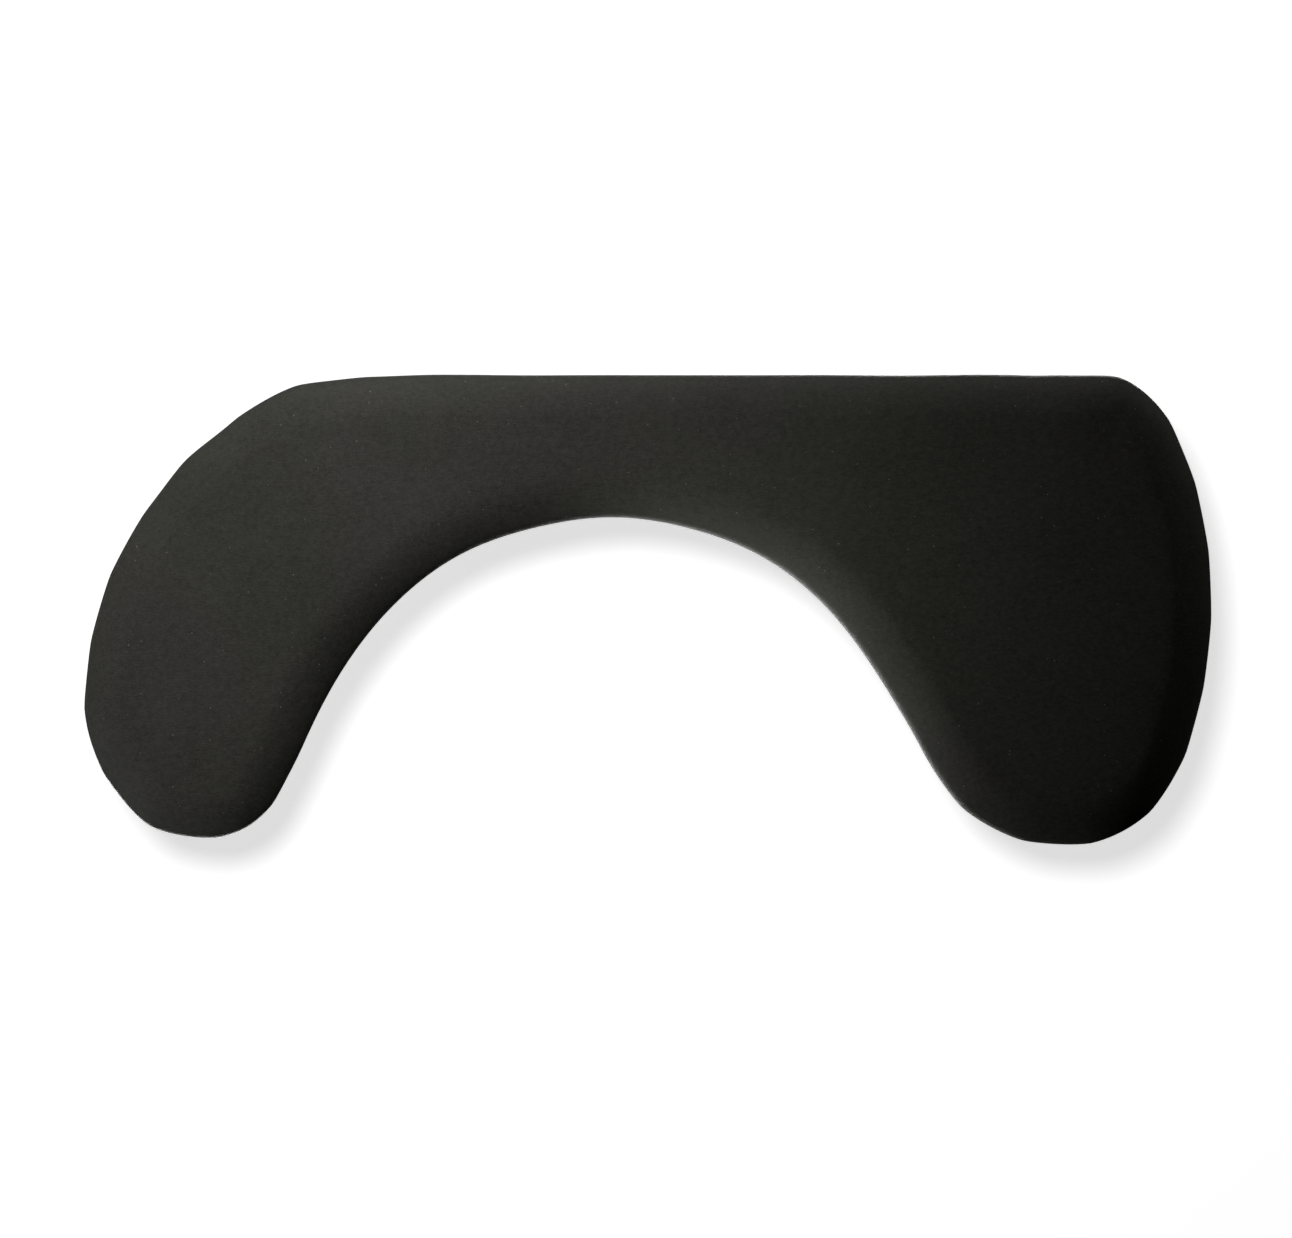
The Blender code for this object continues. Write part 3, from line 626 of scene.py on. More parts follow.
class Outline:
    """The board's outline: points, inward normals, distance walked and curvature."""

    def __init__(self, count):
        self.points = closed_curve(widest_ring("foam_pad"), count)
        self.inward = self.normals()
        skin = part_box("cover")[1][0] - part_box("foam_pad")[1][0]
        self.points = self.points - self.inward * skin
        after = np.roll(self.points, -1, axis=0)
        steps = np.linalg.norm(after - self.points, axis=1)
        self.length = steps.sum()
        self.walked = np.concatenate([[0], np.cumsum(steps)[:-1]])
        turn = np.roll(self.inward, -1, axis=0) - np.roll(self.inward, 1, axis=0)
        along = np.column_stack([self.inward[:, 1], -self.inward[:, 0]])
        bend = -np.sum(turn * along, axis=1) / (2 * steps.mean())
        self.bend = smoothed(bend, BEND_REACH)

    def normals(self):
        along = np.roll(self.points, -1, axis=0) - np.roll(self.points, 1, axis=0)
        along /= np.linalg.norm(along, axis=1)[:, None]
        return np.column_stack([-along[:, 1], along[:, 0]])

    def ring(self, inset, z):
        """The outline moved inwards; inset and z are numbers or one number for each point."""
        flat = self.points + self.inward * np.reshape(inset, (-1, 1))
        return np.column_stack([flat, np.broadcast_to(z, len(flat))])


def smoothed(values, width):
    """Running mean round a closed chain."""
    return sum(np.roll(values, k) for k in range(-width, width + 1)) / (2 * width + 1)


def wave(outline, period):
    """Phase round the outline of a wave that closes on itself."""
    cycles = round(outline.length / period)
    return 2 * math.pi * cycles * outline.walked / outline.length


# ======== upholstery
def inside(points, polygon):
    """Which points lie inside the polygon."""
    x, y = points[:, :1], points[:, 1:2]
    x1, y1 = polygon[:, 0], polygon[:, 1]
    x2, y2 = np.roll(x1, -1), np.roll(y1, -1)
    crosses = (y1 > y) != (y2 > y)
    slope = (x2 - x1) / np.where(y2 == y1, 1e-12, y2 - y1)
    return (np.sum(crosses & (x < x1 + (y - y1) * slope), axis=1) % 2).astype(bool)


def fill_flat(bm, rim, spacing):
    """Fills a rim of vertices with even triangles, at the rim's mean height."""
    ring = np.array([vert.co for vert in rim])
    low, high = ring.min(axis=0), ring.max(axis=0)
    rows = np.arange(low[1], high[1], spacing * math.sqrt(3) / 2)
    lattice = np.array(
        [
            (x + k % 2 * spacing / 2, y)
            for k, y in enumerate(rows)
            for x in np.arange(low[0], high[0], spacing)
        ]
    )
    lattice = lattice[inside(lattice, ring[:, :2])]
    gaps = np.linalg.norm(lattice[:, None] - ring[None, :, :2], axis=2).min(axis=1)
    lattice = lattice[gaps > spacing * 0.6]
    flat = [Vector(p) for p in np.vstack([ring[:, :2], lattice])]
    edges = [(i, (i + 1) % len(rim)) for i in range(len(rim))]
    found, _, faces, sources, _, _ = geometry.delaunay_2d_cdt(flat, edges, [], 1, 1e-9)
    verts = []
    for place, source in zip(found, sources):
        known = bool(source) and source[0] < len(rim)
        verts.append(rim[source[0]] if known else bm.verts.new((*place, ring[:, 2].mean())))
    for face in faces:
        bm.faces.new([verts[i] for i in face])


def cover_rings(outline, top_z):
    """Rings of the cover, from its margin under the board, round the edge, to the flat top."""
    low_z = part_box("cover")[0][2]
    _, widest_z = widest_level("cover")
    bend = np.maximum(outline.bend, 0)
    pull = np.sqrt(np.sin(wave(outline, FACET) / 2) ** 2 + 0.01)
    depth = np.clip(0.5 * bend * FACET**2 / 8, 0, FACET_DEPTH)
    waver = np.sin(wave(outline, WAVER)) * (1 + np.sin(wave(outline, WAVER_STRETCH)))
    facet = depth * (pull - FACET_LEVEL) + WAVER_DEPTH * waver
    gather = np.clip(bend / FULL_PLEAT_BEND, 0.15, 1) * PLEAT_DEPTH
    pleat = gather * np.sin(wave(outline, PLEAT) + 0.8 * np.sin(wave(outline, PLEAT_DRIFT)))
    rings = [outline.ring(inset, low_z) for inset in WRAP_INSETS]
    for angle in quarter(LOWER_STEPS):
        inset = EDGE_ROLL * (1 - math.sin(angle)) + facet * math.sin(angle)
        z = widest_z - (widest_z - low_z) * math.cos(angle) + pleat * math.cos(angle)
        rings.append(outline.ring(inset, z))
    for angle in quarter(UPPER_STEPS, 1):
        inset = SHOULDER * (1 - math.cos(angle)) + facet * math.cos(angle)
        rings.append(outline.ring(inset, widest_z + (top_z - widest_z) * math.sin(angle)))
    return rings


def swell(obj, pinned):
    """Blows the cover up a little, as foam does under tight cloth. The pinned points stay, and the
    foam keeps the others from sinking in."""
    mesh = obj.data
    start = np.array([vert.co for vert in mesh.vertices])
    normals = np.array([vert.normal for vert in mesh.vertices])
    group = obj.vertex_groups.new(name="pins")
    group.add([int(i) for i in pinned], 1.0, "REPLACE")
    cloth = obj.modifiers.new("cloth", "CLOTH")
    settings = cloth.settings
    settings.vertex_group_mass = "pins"
    settings.quality = 6
    settings.tension_stiffness = 20
    settings.compression_stiffness = 20
    settings.bending_stiffness = 2
    settings.use_pressure = True
    settings.uniform_pressure_force = 4
    settings.effector_weights.gravity = 0
    scene = bpy.context.scene
    for step in range(1, SWELL_FRAMES + 1):
        scene.frame_set(step)
    graph = bpy.context.evaluated_depsgraph_get()
    swollen = np.array([vert.co for vert in obj.evaluated_get(graph).data.vertices])
    obj.modifiers.remove(cloth)
    obj.vertex_groups.clear()
    scene.frame_set(1)
    rise = np.clip(np.sum((swollen - start) * normals, axis=1), 0, None)
    rise = evened(mesh, rise, pinned)
    capped = start + normals * (SWELL_CAP * np.tanh(rise / SWELL_CAP))[:, None]
    mesh.vertices.foreach_set("co", capped.ravel())


def evened(mesh, values, pinned):
    """Values at the vertices, averaged with their neighbours' again and again, and 0 where pinned."""
    edges = np.array([edge.vertices[:] for edge in mesh.edges])
    both = np.vstack([edges, edges[:, ::-1]])
    count = np.bincount(both[:, 0], minlength=len(values))
    for _ in range(SWELL_EVENINGS):
        near = np.bincount(both[:, 0], values[both[:, 1]], minlength=len(values)) / count
        values = (values + near) / 2
        values[list(pinned)] = 0
    return values


def make_cover(outline, finish):
    """Tight fabric over the foam's top and edge, turned in under the board."""
    top_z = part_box("cover")[1][2] - START_DROP
    bm = bmesh.new()
    loops = loft(bm, cover_rings(outline, top_z), cap_start=False, cap_end=False)
    fill_flat(bm, loops[-1], TOP_SPACING)
    cover = new_object("cover_fabric_skin", finished(bm, "cover_fabric_skin", finish, 80))
    firm_rings = len(WRAP_INSETS) + LOWER_STEPS + 2  # up to just above the widest level
    swell(cover, range(firm_rings * OUTLINE_POINTS))
    shell = cover.modifiers.new("thickness", "SOLIDIFY")
    shell.thickness = FABRIC_THICK
    shell.offset = -1
    settle(cover, "support", "cover_fabric", "cover")
    return cover


def make_foam(outline, finish):
    """Foam slab and skirt, under the cover."""
    low_z, high_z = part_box("foam_pad")[0][2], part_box("foam_pad")[1][2] - START_DROP
    slab_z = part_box("core_board")[1][2] + SEAT_GAP
    widest_z = low_z + (slab_z - low_z) * FOAM_WIDEST
    rings = [outline.ring(FOAM_SKIRT, slab_z), outline.ring(FOAM_SKIRT, low_z)]
    for angle in quarter(FOAM_LOWER_STEPS):
        inset = EDGE_ROLL - (EDGE_ROLL - FOAM_EDGE) * math.sin(angle)
        rings.append(outline.ring(inset, widest_z - (widest_z - low_z) * math.cos(angle)))
    for angle in quarter(FOAM_UPPER_STEPS, 1):
        inset = SHOULDER - (SHOULDER - FOAM_EDGE) * math.cos(angle)
        rings.append(outline.ring(inset, widest_z + (high_z - widest_z) * math.sin(angle)))
    bm = bmesh.new()
    loops = loft(bm, rings, cap_end=False)
    fill_flat(bm, loops[-1], 2 * TOP_SPACING)
    padding = new_object("foam_padding", finished(bm, "foam_padding", finish, 60))
    settle(padding, "support", "foam", "foam_pad")


def make_liner(outline, finish):
    """Thin sheet stapled under the board, puckered a little between its staples."""
    high_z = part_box("dust_liner")[1][2]
    staples = wave(outline, outline.length / STAPLE_COUNT)
    scallop = 1 - np.cos(staples)
    cut = np.sin(wave(outline, LINER_CUT_PERIOD))
    edge = LINER_INSET + LINER_SCALLOP * scallop + LINER_CUT * cut
    pucker = PUCKER * scallop / 2
    bm = bmesh.new()
    top = outline.ring(edge, high_z - pucker)
    low = outline.ring(edge, high_z - pucker - LINER_THICK)
    inner_top = outline.ring(LINER_FLAT_INSET, high_z)
    inner_low = outline.ring(LINER_FLAT_INSET, high_z - LINER_THICK)
    loops = loft(bm, [inner_low, low, top, inner_top], cap_start=False, cap_end=False)
    fill_flat(bm, loops[0], LINER_SPACING)
    fill_flat(bm, loops[-1], LINER_SPACING)
    liner = new_object("dust_liner_sheet", finished(bm, "dust_liner_sheet", finish, 60))
    settle(liner, "support", "liner_fabric", "dust_liner")


def make_staples(outline, finish):
    """Crowns of the liner's staples, with the bends into their legs."""
    low_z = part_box("dust_liner")[1][2] - LINER_THICK
    half, drop = STAPLE_CROWN / 2, STAPLE_WIRE_THICK / 2
    end = [(half - STAPLE_BEND, -drop), (half, 0), (half, drop)]
    path = [(-x, z) for x, z in reversed(end)] + end
    bm = bmesh.new()
    for k in range(STAPLE_COUNT):
        i = round((k + 0.5) * len(outline.points) / STAPLE_COUNT) % len(outline.points)
        centre = outline.points[i] + outline.inward[i] * STAPLE_INSET
        tilt = STAPLE_TILT * math.sin(7.3 * k)
        heading = math.atan2(-outline.inward[i][0], outline.inward[i][1]) + tilt
        turn = Matrix.Translation((*centre, low_z)) @ Matrix.Rotation(heading, 4, "Z")
        rings = []
        for x, z in path:
            ring = [
                (x, math.cos(a) * STAPLE_WIRE_WIDTH / 2, z + math.sin(a) * STAPLE_WIRE_THICK / 2)
                for a in np.linspace(0, 2 * math.pi, 8, endpoint=False)
            ]
            rings.append([turn @ Vector(point) for point in ring])
        loft(bm, rings)
    staples = new_object("liner_staples", finished(bm, "liner_staples", finish))
    settle(staples, "support", "zinc_plated")


def make_grip(node, finish):
    """Rubber strip with ribs along it on the side that meets the desk."""
    low, high = (Vector(corner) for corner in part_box(node))
    half_x, half_y = (high.x - low.x) / 2, (high.y - low.y) / 2
    bm = bmesh.new()
    steps = np.linspace(-1, 1, GRIP_RIBS * 6 + 1)
    phase = np.pi * (GRIP_RIBS * steps + GRIP_RIBS + 1)
    grooves = RIB_DEPTH * np.clip(1.6 * np.cos(phase) - 0.4, 0, 1)
    ends = [half_x - station * MM for station in GRIP_STATIONS]
    places = [-x for x in ends] + ends[::-1]
    rings = []
    for x in places:
        short = max(0.0, GRIP_CORNER - (half_x - abs(x)))
        width = half_y - GRIP_CORNER + math.sqrt(GRIP_CORNER**2 - short**2)
        under = [(x, float(t) * width, float(g)) for t, g in zip(steps, grooves)]
        upper = [(x, -t * width, high.z) for t in (-1, -0.5, 0, 0.5, 1)]
        rings.append(under + upper)
    loft(bm, rings)
    middle = (low + high) / 2
    mesh = finished(bm, node + "_ribbed", finish, 50)
    grip = new_object(node + "_ribbed", mesh, (middle.x, middle.y, 0))
    settle(grip, "support", "rubber", node)


# ======== clamps
def clamp_centre(side):
    return (*centre_of(f"spindle_{side}"), 0)


def on_clamp(bm, name, side, finish, smooth_angle=40):
    """The bmesh as an object about a clamp's axis, named with its side."""
    name = f"{name}_{side}"
    return new_object(name, finished(bm, name, finish, smooth_angle), clamp_centre(side))


def turned_on_clamp(profile, name, side, finish, smooth_angle=40, closed=False):
    bm = bmesh.new()
    turned(bm, profile, closed)
    return on_clamp(bm, name, side, finish, smooth_angle)


def bracket_section(side):
    """The bent strip's outline in the YZ plane."""
    low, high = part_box(f"clamp_bracket_{side}")
    mounts = {mount["name"]: mount["pos_m"] for mount in frame["record"]["mounts"]}
    half = STEEL / 2
    middle = INNER_BEND + half
    web_y = mounts[f"desk_edge_stop_{side}"][1] - half
    flange_z = high[2] - half
    arm_z = low[2] + half
    bends = [
        ((web_y - middle, flange_z - middle), 90, 0, 1),
        ((web_y + middle, arm_z + middle), 180, 270, -1),
    ]
    path = [((low[1], flange_z), (0, 1))]
    for centre, start, end, facing in bends:
        points = arc(centre, middle, start, end, BEND_STEPS)
        path += zip(points, arc((0, 0), facing, start, end, BEND_STEPS))
    path.append(((high[1], arm_z), (0, 1)))
    front = [(p[0] + n[0] * half, p[1] + n[1] * half) for p, n in path]
    back = [(p[0] - n[0] * half, p[1] - n[1] * half) for p, n in path]
    return front + back[::-1]


def round_end(bm, y, corner):
    """Rounds the two upright corners of a strip's end."""
    edges = [
        edge
        for edge in bm.edges
        if all(abs(vert.co.y - y) < 1e-6 for vert in edge.verts)
        and abs(edge.verts[0].co.z - edge.verts[1].co.z) > STEEL / 2
    ]
    bmesh.ops.bevel(bm, geom=edges, offset=corner, segments=12, affect="EDGES", profile=0.5)


def hole_cutter(side, finish):
    """Cylinders for the screw holes and the bush's hole, about the clamp's centre."""
    low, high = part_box(f"clamp_bracket_{side}")
    axis_x, axis_y, _ = clamp_centre(side)
    bm = bmesh.new()
    for number in range(1, 5):
        screw_x, screw_y = centre_of(f"bracket_screw_{side}_{number}")
        bore = [circle(SCREW_HOLE_R, z) for z in (high[2] - 2 * STEEL, high[2] + STEEL)]
        shift = (screw_x - axis_x, screw_y - axis_y)
        loft(bm, [[(x + shift[0], y + shift[1], z) for x, y, z in ring] for ring in bore])
    bush_hole_r = BUSH_SPIGOT_R + HOLE_GAP
    turned(bm, [(bush_hole_r, low[2] - STEEL), (bush_hole_r, low[2] + 2 * STEEL)])
    return on_clamp(bm, "hole_cutter", side, finish)


def make_bracket(side, finish):
    """Bent strip with its holes and softened edges."""
    node = f"clamp_bracket_{side}"
    low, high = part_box(node)
    half = (high[0] - low[0]) / 2
    bm = bmesh.new()
    face = bm.faces.new([bm.verts.new((-half, y, z)) for y, z in bracket_section(side)])
    grown = bmesh.ops.extrude_face_region(bm, geom=[face])["geom"]
    moved = [item for item in grown if isinstance(item, bmesh.types.BMVert)]
    bmesh.ops.translate(bm, vec=(2 * half, 0, 0), verts=moved)
    round_end(bm, low[1], FLANGE_CORNER)
    round_end(bm, high[1], ARM_CORNER)
    bracket = on_clamp(bm, "bent_bracket", side, finish)
    cutter = hole_cutter(side, finish)
    holes = bracket.modifiers.new("holes", "BOOLEAN")
    holes.operation = "DIFFERENCE"
    holes.object = cutter
    edges = bracket.modifiers.new("edges", "BEVEL")
    edges.width = EDGE_BEVEL
    edges.segments = 3
    edges.limit_method = "ANGLE"
    edges.angle_limit = math.radians(45)
    bake_modifiers(bracket)
    bpy.data.objects.remove(cutter)
    bracket.data.set_sharp_from_angle(angle=math.radians(50))
    settle(bracket, "support", "powder_coat", node)


def screw_mesh(head_r, low_z, high_z, finish):
    """Button-head screw with a hex socket."""
    head_top = low_z + SCREW_HEAD
    socket_z = low_z + HEX_KEY_DEPTH
    socket = [
        hexagon(HEX_KEY_R * 0.9, socket_z),
        hexagon(HEX_KEY_R, socket_z - 0.3 * MM),
        hexagon(HEX_KEY_R, low_z + 0.15 * MM),
    ]
    dome = [
        (HEX_KEY_R * 1.02, low_z),
        (head_r * 0.62, low_z),
        (head_r * 0.86, low_z + SCREW_HEAD * 0.3),
        (head_r, low_z + SCREW_HEAD * 0.8),
        (head_r, head_top),
        (SCREW_SHANK_R, head_top),
        *near(SCREW_SHANK_R, high_z, (0, -0.6), (-0.6, 0)),
    ]
    dome = filleted(dome, 0.8 * MM)
    bm = bmesh.new()
    loft(bm, socket + [circle(r, z, HEX_ROUND) for r, z in dome])
    return finished(bm, "button_head_screw", finish, 45)


def make_screws(side, finish):
    for number in range(1, 5):
        node = f"bracket_screw_{side}_{number}"
        mesh = screw_mesh(*levels_of(node), finish)
        screw = new_object(f"hex_screw_{side}_{number}", mesh, (*centre_of(node), 0))
        screw.rotation_euler.z = SCREW_TURN * number
        settle(screw, "support", "zinc_plated", node)


def make_bush(side, finish):
    """Bush with a groove round its collar."""
    node = f"threaded_bush_{side}"
    collar_r, low_z, high_z = levels_of(node)
    bore_r = levels_of(f"spindle_{side}")[0] + TURNING_GAP
    seat_z = high_z - BUSH_COLLAR
    profile = [
        *near(bore_r, low_z, (0.01, 1), (0, 0.5), (0.4, 0)),
        *near(BUSH_SPIGOT_R, low_z, (-0.3, 0), (0, 0.4)),
        (BUSH_SPIGOT_R, seat_z),
        *near(collar_r, seat_z, (0, 0), (0, 0.8), (-0.35, 1), (-0.35, 1.3), (0, 1.5)),
        *near(collar_r, high_z, (0, -0.5), (-0.5, 0)),
        *near(bore_r, high_z, (0.5, 0), (0, -0.5)),
    ]
    profile = filleted(profile, 0.2 * MM, 3)
    bush = turned_on_clamp(profile, "collar_bush", side, finish, closed=True)
    settle(bush, "support", "zinc_plated", node)


def thread(bm, major_r, low_z, high_z):
    """A right-hand trapezoidal thread: a helical strip, cut level at both ends. It is open on the
    inside, where the spindle's core fills it."""
    pitch, minor_r = THREAD_PITCH, THREAD_MINOR_R
    tooth = [(minor_r, 0), (major_r, 0.16 * pitch), (major_r, 0.5 * pitch), (minor_r, 0.66 * pitch)]
    turns = math.ceil((high_z - low_z) / pitch) + 1
    grid = []
    for k in range(turns * THREAD_STEPS + 1):
        angle = 2 * math.pi * k / THREAD_STEPS
        base = low_z - pitch + pitch * k / THREAD_STEPS
        column = []
        for r, rise in tooth:
            z = min(max(base + rise, low_z), high_z)
            column.append(bm.verts.new((r * math.cos(angle), r * math.sin(angle), z)))
        grid.append(column)
    last = len(tooth) - 1
    for k in range(len(grid) - 1):
        for j in range(last):
            bm.faces.new((grid[k][j], grid[k + 1][j], grid[k + 1][j + 1], grid[k][j + 1]))
        above = k + THREAD_STEPS
        if above + 1 < len(grid):
            bm.faces.new((grid[k][last], grid[k + 1][last], grid[above + 1][0], grid[above][0]))


def make_spindle(side, finish):
    """Threaded spindle with its neck and pin."""
    node = f"spindle_{side}"
    major_r, low_z, high_z = levels_of(node)
    neck_top = levels_of(f"ball_tip_{side}")[1] - SEAT_GAP
    shoulder_z = neck_top - NECK
    bm = bmesh.new()
    thread(bm, major_r - 0.1 * MM, low_z + 1 * MM, shoulder_z - 1.2 * MM)
    core = [
        (THREAD_MINOR_R * 0.9, low_z),
        *near(THREAD_MINOR_R, low_z, (0.02, 0.4)),
        *near(THREAD_MINOR_R, shoulder_z, (0.02, -1.6)),
        *near(major_r, shoulder_z, (-0.3, -1.2), (-0.3, -0.3), (-0.8, 0)),
        (NECK_R, shoulder_z),
        (NECK_R, neck_top),
        (PIN_R, neck_top),
        (PIN_R, high_z),
    ]
    core = filleted(core, 0.25 * MM, 3)
    turned(bm, core)
    spindle = on_clamp(bm, "threaded_spindle", side, finish, 30)
    settle(spindle, f"screw_{side}", "bright_steel", node)


def knob_ring(radius, inset, z):
    """One ring of the lobed knob, inset at the lobes' tips and less in between."""
    scale = 1 - inset / radius
    ring = []
    for k in range(KNOB_STEPS):
        angle = 2 * math.pi * k / KNOB_STEPS
        lobe = (1 + math.cos(KNOB_LOBES * angle)) / 2
        r = (radius - KNOB_LOBE_DEPTH * (1 - lobe**0.7)) * scale
        ring.append((r * math.cos(angle), r * math.sin(angle), z))
    return ring


def make_knob(side, finish):
    """Lobed hand knob with a hub and a recess for its cap."""
    node = f"knob_{side}"
    radius, low_z, high_z = levels_of(node)
    spindle_r, spindle_low, _ = levels_of(f"spindle_{side}")
    cap_r, _, cap_top = levels_of(f"knob_cap_{side}")
    bore_r, recess_r = spindle_r + TURNING_GAP, cap_r + TURNING_GAP
    hub_z = high_z - KNOB_HUB
    hub = [
        (bore_r, spindle_low - SEAT_GAP),
        *near(bore_r, high_z, (0, -0.4), (0.4, 0)),
        *near(KNOB_HUB_R, high_z, (-0.5, 0), (0, -0.4)),
        *near(KNOB_HUB_R, hub_z, (0.6, 0.5), (1.4, 0)),
    ]
    upper_z = hub_z - 0.4 * MM
    rings = [circle(r, z, KNOB_STEPS) for r, z in hub]
    for angle in quarter(6):
        drop = KNOB_EDGE * (1 - math.cos(angle))
        rings.append(knob_ring(radius, KNOB_EDGE * (1 - math.sin(angle)), upper_z - drop))
    for angle in quarter(6):
        rise = KNOB_EDGE * (1 - math.sin(angle))
        rings.append(knob_ring(radius, KNOB_EDGE * (1 - math.cos(angle)), low_z + rise))
    recess = [*near(recess_r, low_z, (0.5, 0), (0, 0.4)), (recess_r, cap_top + SEAT_GAP)]
    bm = bmesh.new()
    loft(bm, rings + [circle(r, z, KNOB_STEPS) for r, z in recess])
    knob = on_clamp(bm, "lobed_knob", side, finish, 45)
    settle(knob, f"screw_{side}", "knob_plastic", node)


def make_cap(side, finish):
    """Knob's cap: a shallow dish with a raised rim."""
    node = f"knob_cap_{side}"
    radius, low_z, high_z = levels_of(node)
    profile = [
        (0.3 * MM, low_z + 0.45 * MM),
        (radius * 0.62, low_z + 0.4 * MM),
        (radius * 0.7, low_z),
        *near(radius, low_z, (-0.5, 0), (0, 0.4)),
        (radius, high_z),
    ]
    profile = filleted(profile, 0.5 * MM)
    cap = turned_on_clamp(profile, "dished_cap", side, finish)
    settle(cap, f"screw_{side}", "knob_plastic", node)


def make_ball(side, finish):
    """Bored ball on the spindle's pin. Gives the height of its centre."""
    node = f"ball_tip_{side}"
    _, low_z, high_z = levels_of(node)
    centre_z = high_z - BALL_R * math.sin(math.radians(BALL_TOP_ANGLE))
    flat = math.degrees(math.asin((low_z - centre_z) / BALL_R))
    bore_r = PIN_R + TURNING_GAP
    bore_top = levels_of(f"spindle_{side}")[2] + SEAT_GAP
    profile = [(bore_r, bore_top), (bore_r, low_z)] + arc((0, centre_z), BALL_R, flat, 85, 20)
    ball = turned_on_clamp(profile, "polished_ball", side, finish)
    settle(ball, f"ball_{side}", "bright_steel", node)
    return centre_z


def make_cup(side, ball_z, finish):
    """Pressed cup that is crimped round the ball."""
    node = f"foot_cup_{side}"
    radius, low_z, high_z = levels_of(node)
    mouth = math.degrees(math.asin((low_z - ball_z) / SOCKET_R))
    outside = [
        (SOCKET_R * math.cos(math.radians(mouth)) + 0.1 * MM, low_z),
        (radius * 0.42, low_z),
        (radius * 0.52, low_z + 2.2 * MM),
        (radius * 0.62, low_z + 2.9 * MM),
        (radius * 0.95, low_z + 3.2 * MM),
        (radius, low_z + 3.9 * MM),
        *near(radius, high_z, (0, -0.7), (-0.6, 0), (-1.4, 0)),
    ]
    outside = filleted(outside, 0.9 * MM, 5)
    profile = arc((0, ball_z), SOCKET_R, 84, mouth, 14) + outside
    cup = turned_on_clamp(profile, "crimped_cup", side, finish)
    settle(cup, f"foot_{side}", "zinc_plated", node)


def make_pad(side, finish):
    """Rubber disc with round grooves in its top."""
    node = f"foot_pad_{side}"
    radius, low_z, high_z = levels_of(node)
    profile = near(radius, low_z, (-0.3, 0), (0, 0.3)) + near(radius, high_z, (0, -0.5), (-0.5, 0))
    for k in range(PAD_GROOVES):
        outer = radius - PAD_RIM - PAD_GROOVE_PITCH * k
        profile += near(outer, high_z, (0, 0), (-0.3, -0.6), (-0.8, -0.6), (-1.1, 0))
    pad = turned_on_clamp(filleted(profile, 0.2 * MM, 2), "grooved_pad", side, finish, 60)
    settle(pad, f"foot_{side}", "rubber", node)


# ======== studio
def make_floor(finish):
    """A floor low enough for the clamps' screws at the end of their travel."""
    travel = min(joint["range_m"][0] for joint in frame["joints"] if joint["type"] == "slide")
    floor_z = cad_box[0][2] + travel - FLOOR_GAP
    bm = bmesh.new()
    bmesh.ops.create_grid(bm, x_segments=1, y_segments=1, size=FLOOR_HALF)
    bmesh.ops.translate(bm, vec=(0, 0, floor_z), verts=bm.verts)
    floor = new_object("studio_floor", finished(bm, "studio_floor", finish))
    floor.visible_glossy = False
    floor.visible_diffuse = False
    floor.visible_shadow = False


def aim(obj, target):
    obj.rotation_euler = (Vector(target) - obj.location).to_track_quat("-Z", "Y").to_euler()


def make_lamp(name, place, target, width, power, spread):
    light = bpy.data.lights.new(name, "AREA")
    light.shape = "DISK"
    light.size = width
    light.energy = power
    light.spread = math.radians(spread)
    lamp = new_object(name, light, place)
    lamp.visible_camera = False
    aim(lamp, target)
    return lamp


def link_light(lamp, piece, state):
    """Lights the piece alone (INCLUDE), or all but the piece (EXCLUDE)."""
    group = bpy.data.collections.new(lamp.name + "_receivers")
    group.objects.link(piece)
    group.collection_objects[0].light_linking.link_state = state
    lamp.light_linking.receiver_collection = group


def make_lamps(cover):
    link_light(make_lamp(*KEY), cover, "EXCLUDE")
    for settings in UNDER_LAMPS:
        make_lamp(*settings)
    for settings in COVER_LAMPS:
        link_light(make_lamp(*settings), cover, "INCLUDE")


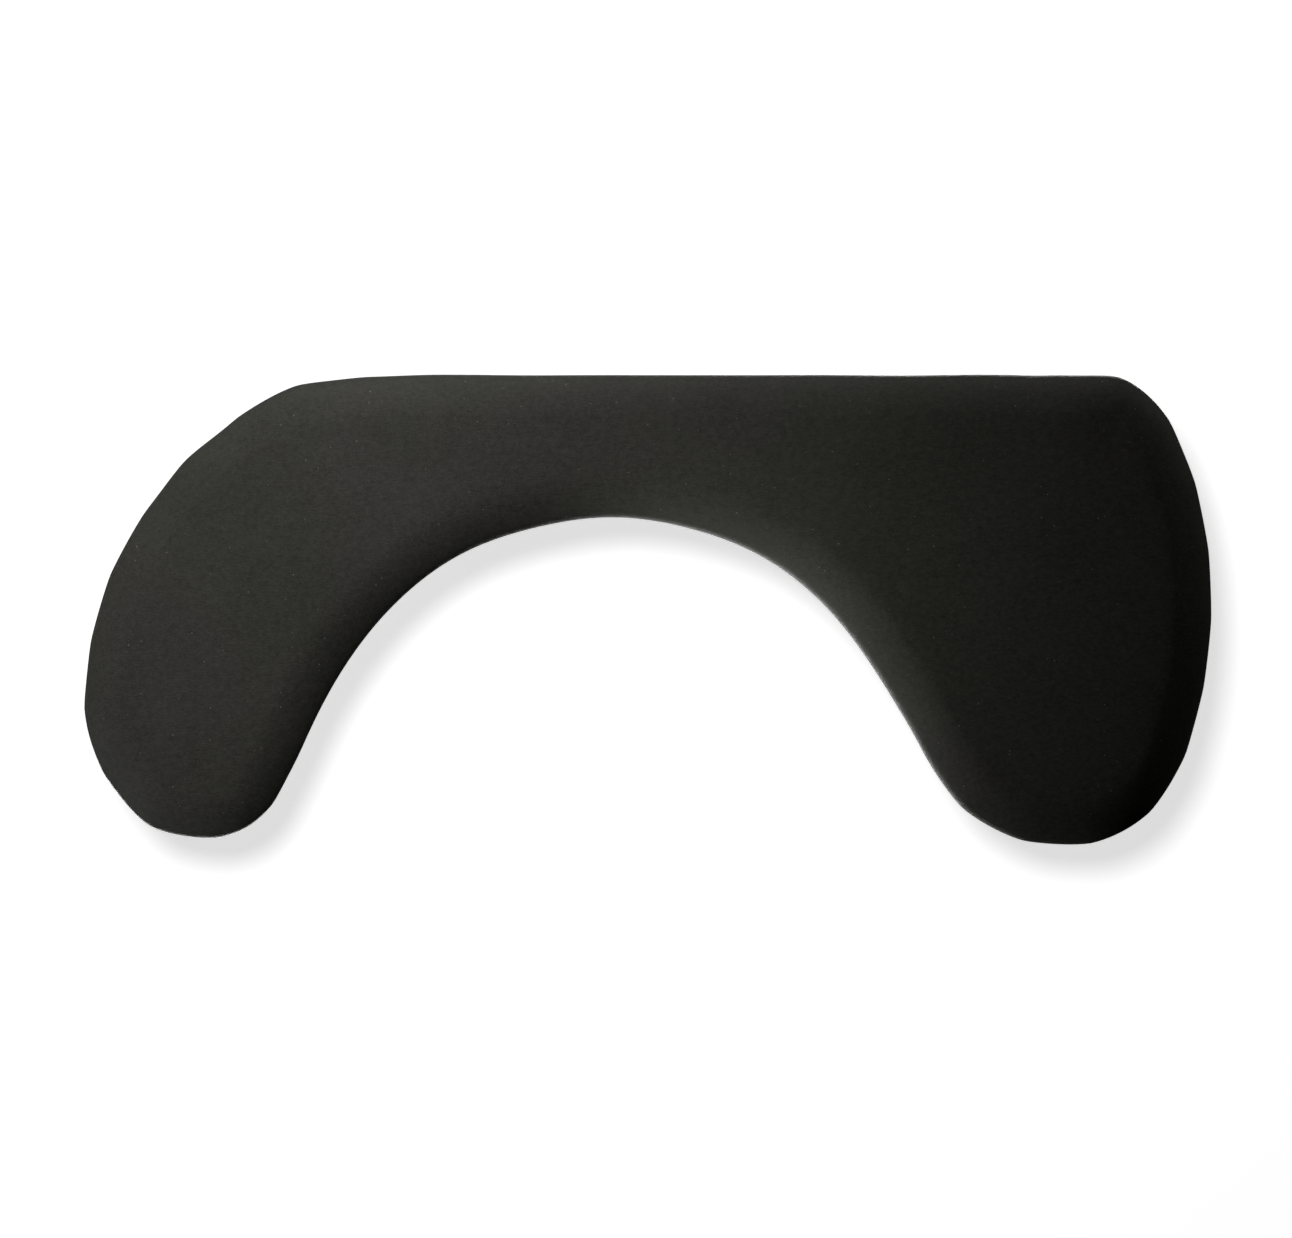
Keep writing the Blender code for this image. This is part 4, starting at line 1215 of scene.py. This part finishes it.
def make_world():
    """Dim all round for what it lights, and pale as a backdrop."""
    world = bpy.data.worlds.new("studio")
    world.use_nodes = True
    nodes, links = world.node_tree.nodes, world.node_tree.links
    ambient = nodes["Background"]
    ambient.inputs["Color"].default_value = AMBIENT
    backdrop = nodes.new("ShaderNodeBackground")
    backdrop.inputs["Color"].default_value = BACKDROP
    mix = nodes.new("ShaderNodeMixShader")
    links.new(nodes.new("ShaderNodeLightPath").outputs["Is Camera Ray"], mix.inputs["Fac"])
    links.new(ambient.outputs["Background"], mix.inputs[1])
    links.new(backdrop.outputs["Background"], mix.inputs[2])
    links.new(mix.outputs["Shader"], nodes["World Output"].inputs["Surface"])
    bpy.context.scene.world = world


def make_camera():
    data = bpy.data.cameras.new("camera")
    data.lens = CAMERA_LENS
    data.clip_start = 0.05
    height = VIEW_Z + VIEW_WIDTH * CAMERA_LENS / data.sensor_width
    bpy.context.scene.camera = new_object("camera", data, (*CAMERA_AIM, height))
    bpy.context.scene.view_settings.view_transform = "Standard"


def repaint_cad(prefix, finish):
    """Gives the CAD nodes that stay a finished material."""
    for name, obj in frame["nodes"].items():
        if name.startswith(prefix):
            obj.data.materials.clear()
            obj.data.materials.append(finish)


def main():
    zinc, steel, black_rubber, plastic = zinc_plated(), bright_steel(), rubber(), knob_plastic()
    outline = Outline(OUTLINE_POINTS)
    cover = make_cover(outline, cover_fabric())
    make_foam(outline, foam())
    make_liner(outline, liner_fabric())
    make_staples(outline, zinc)
    repaint_cad("core_board", core_board())
    repaint_cad("tee_nut", zinc)
    coat = powder_coat()
    make_grip("grip_strip_middle", black_rubber)
    for side in SIDES:
        make_grip(f"grip_strip_{side}", black_rubber)
        make_bracket(side, coat)
        make_screws(side, zinc)
        make_bush(side, zinc)
        make_spindle(side, steel)
        make_knob(side, plastic)
        make_cap(side, plastic)
        ball_z = make_ball(side, steel)
        make_cup(side, ball_z, zinc)
        make_pad(side, black_rubber)
    make_floor(floor_white())
    make_lamps(cover)
    make_world()
    make_camera()


main()
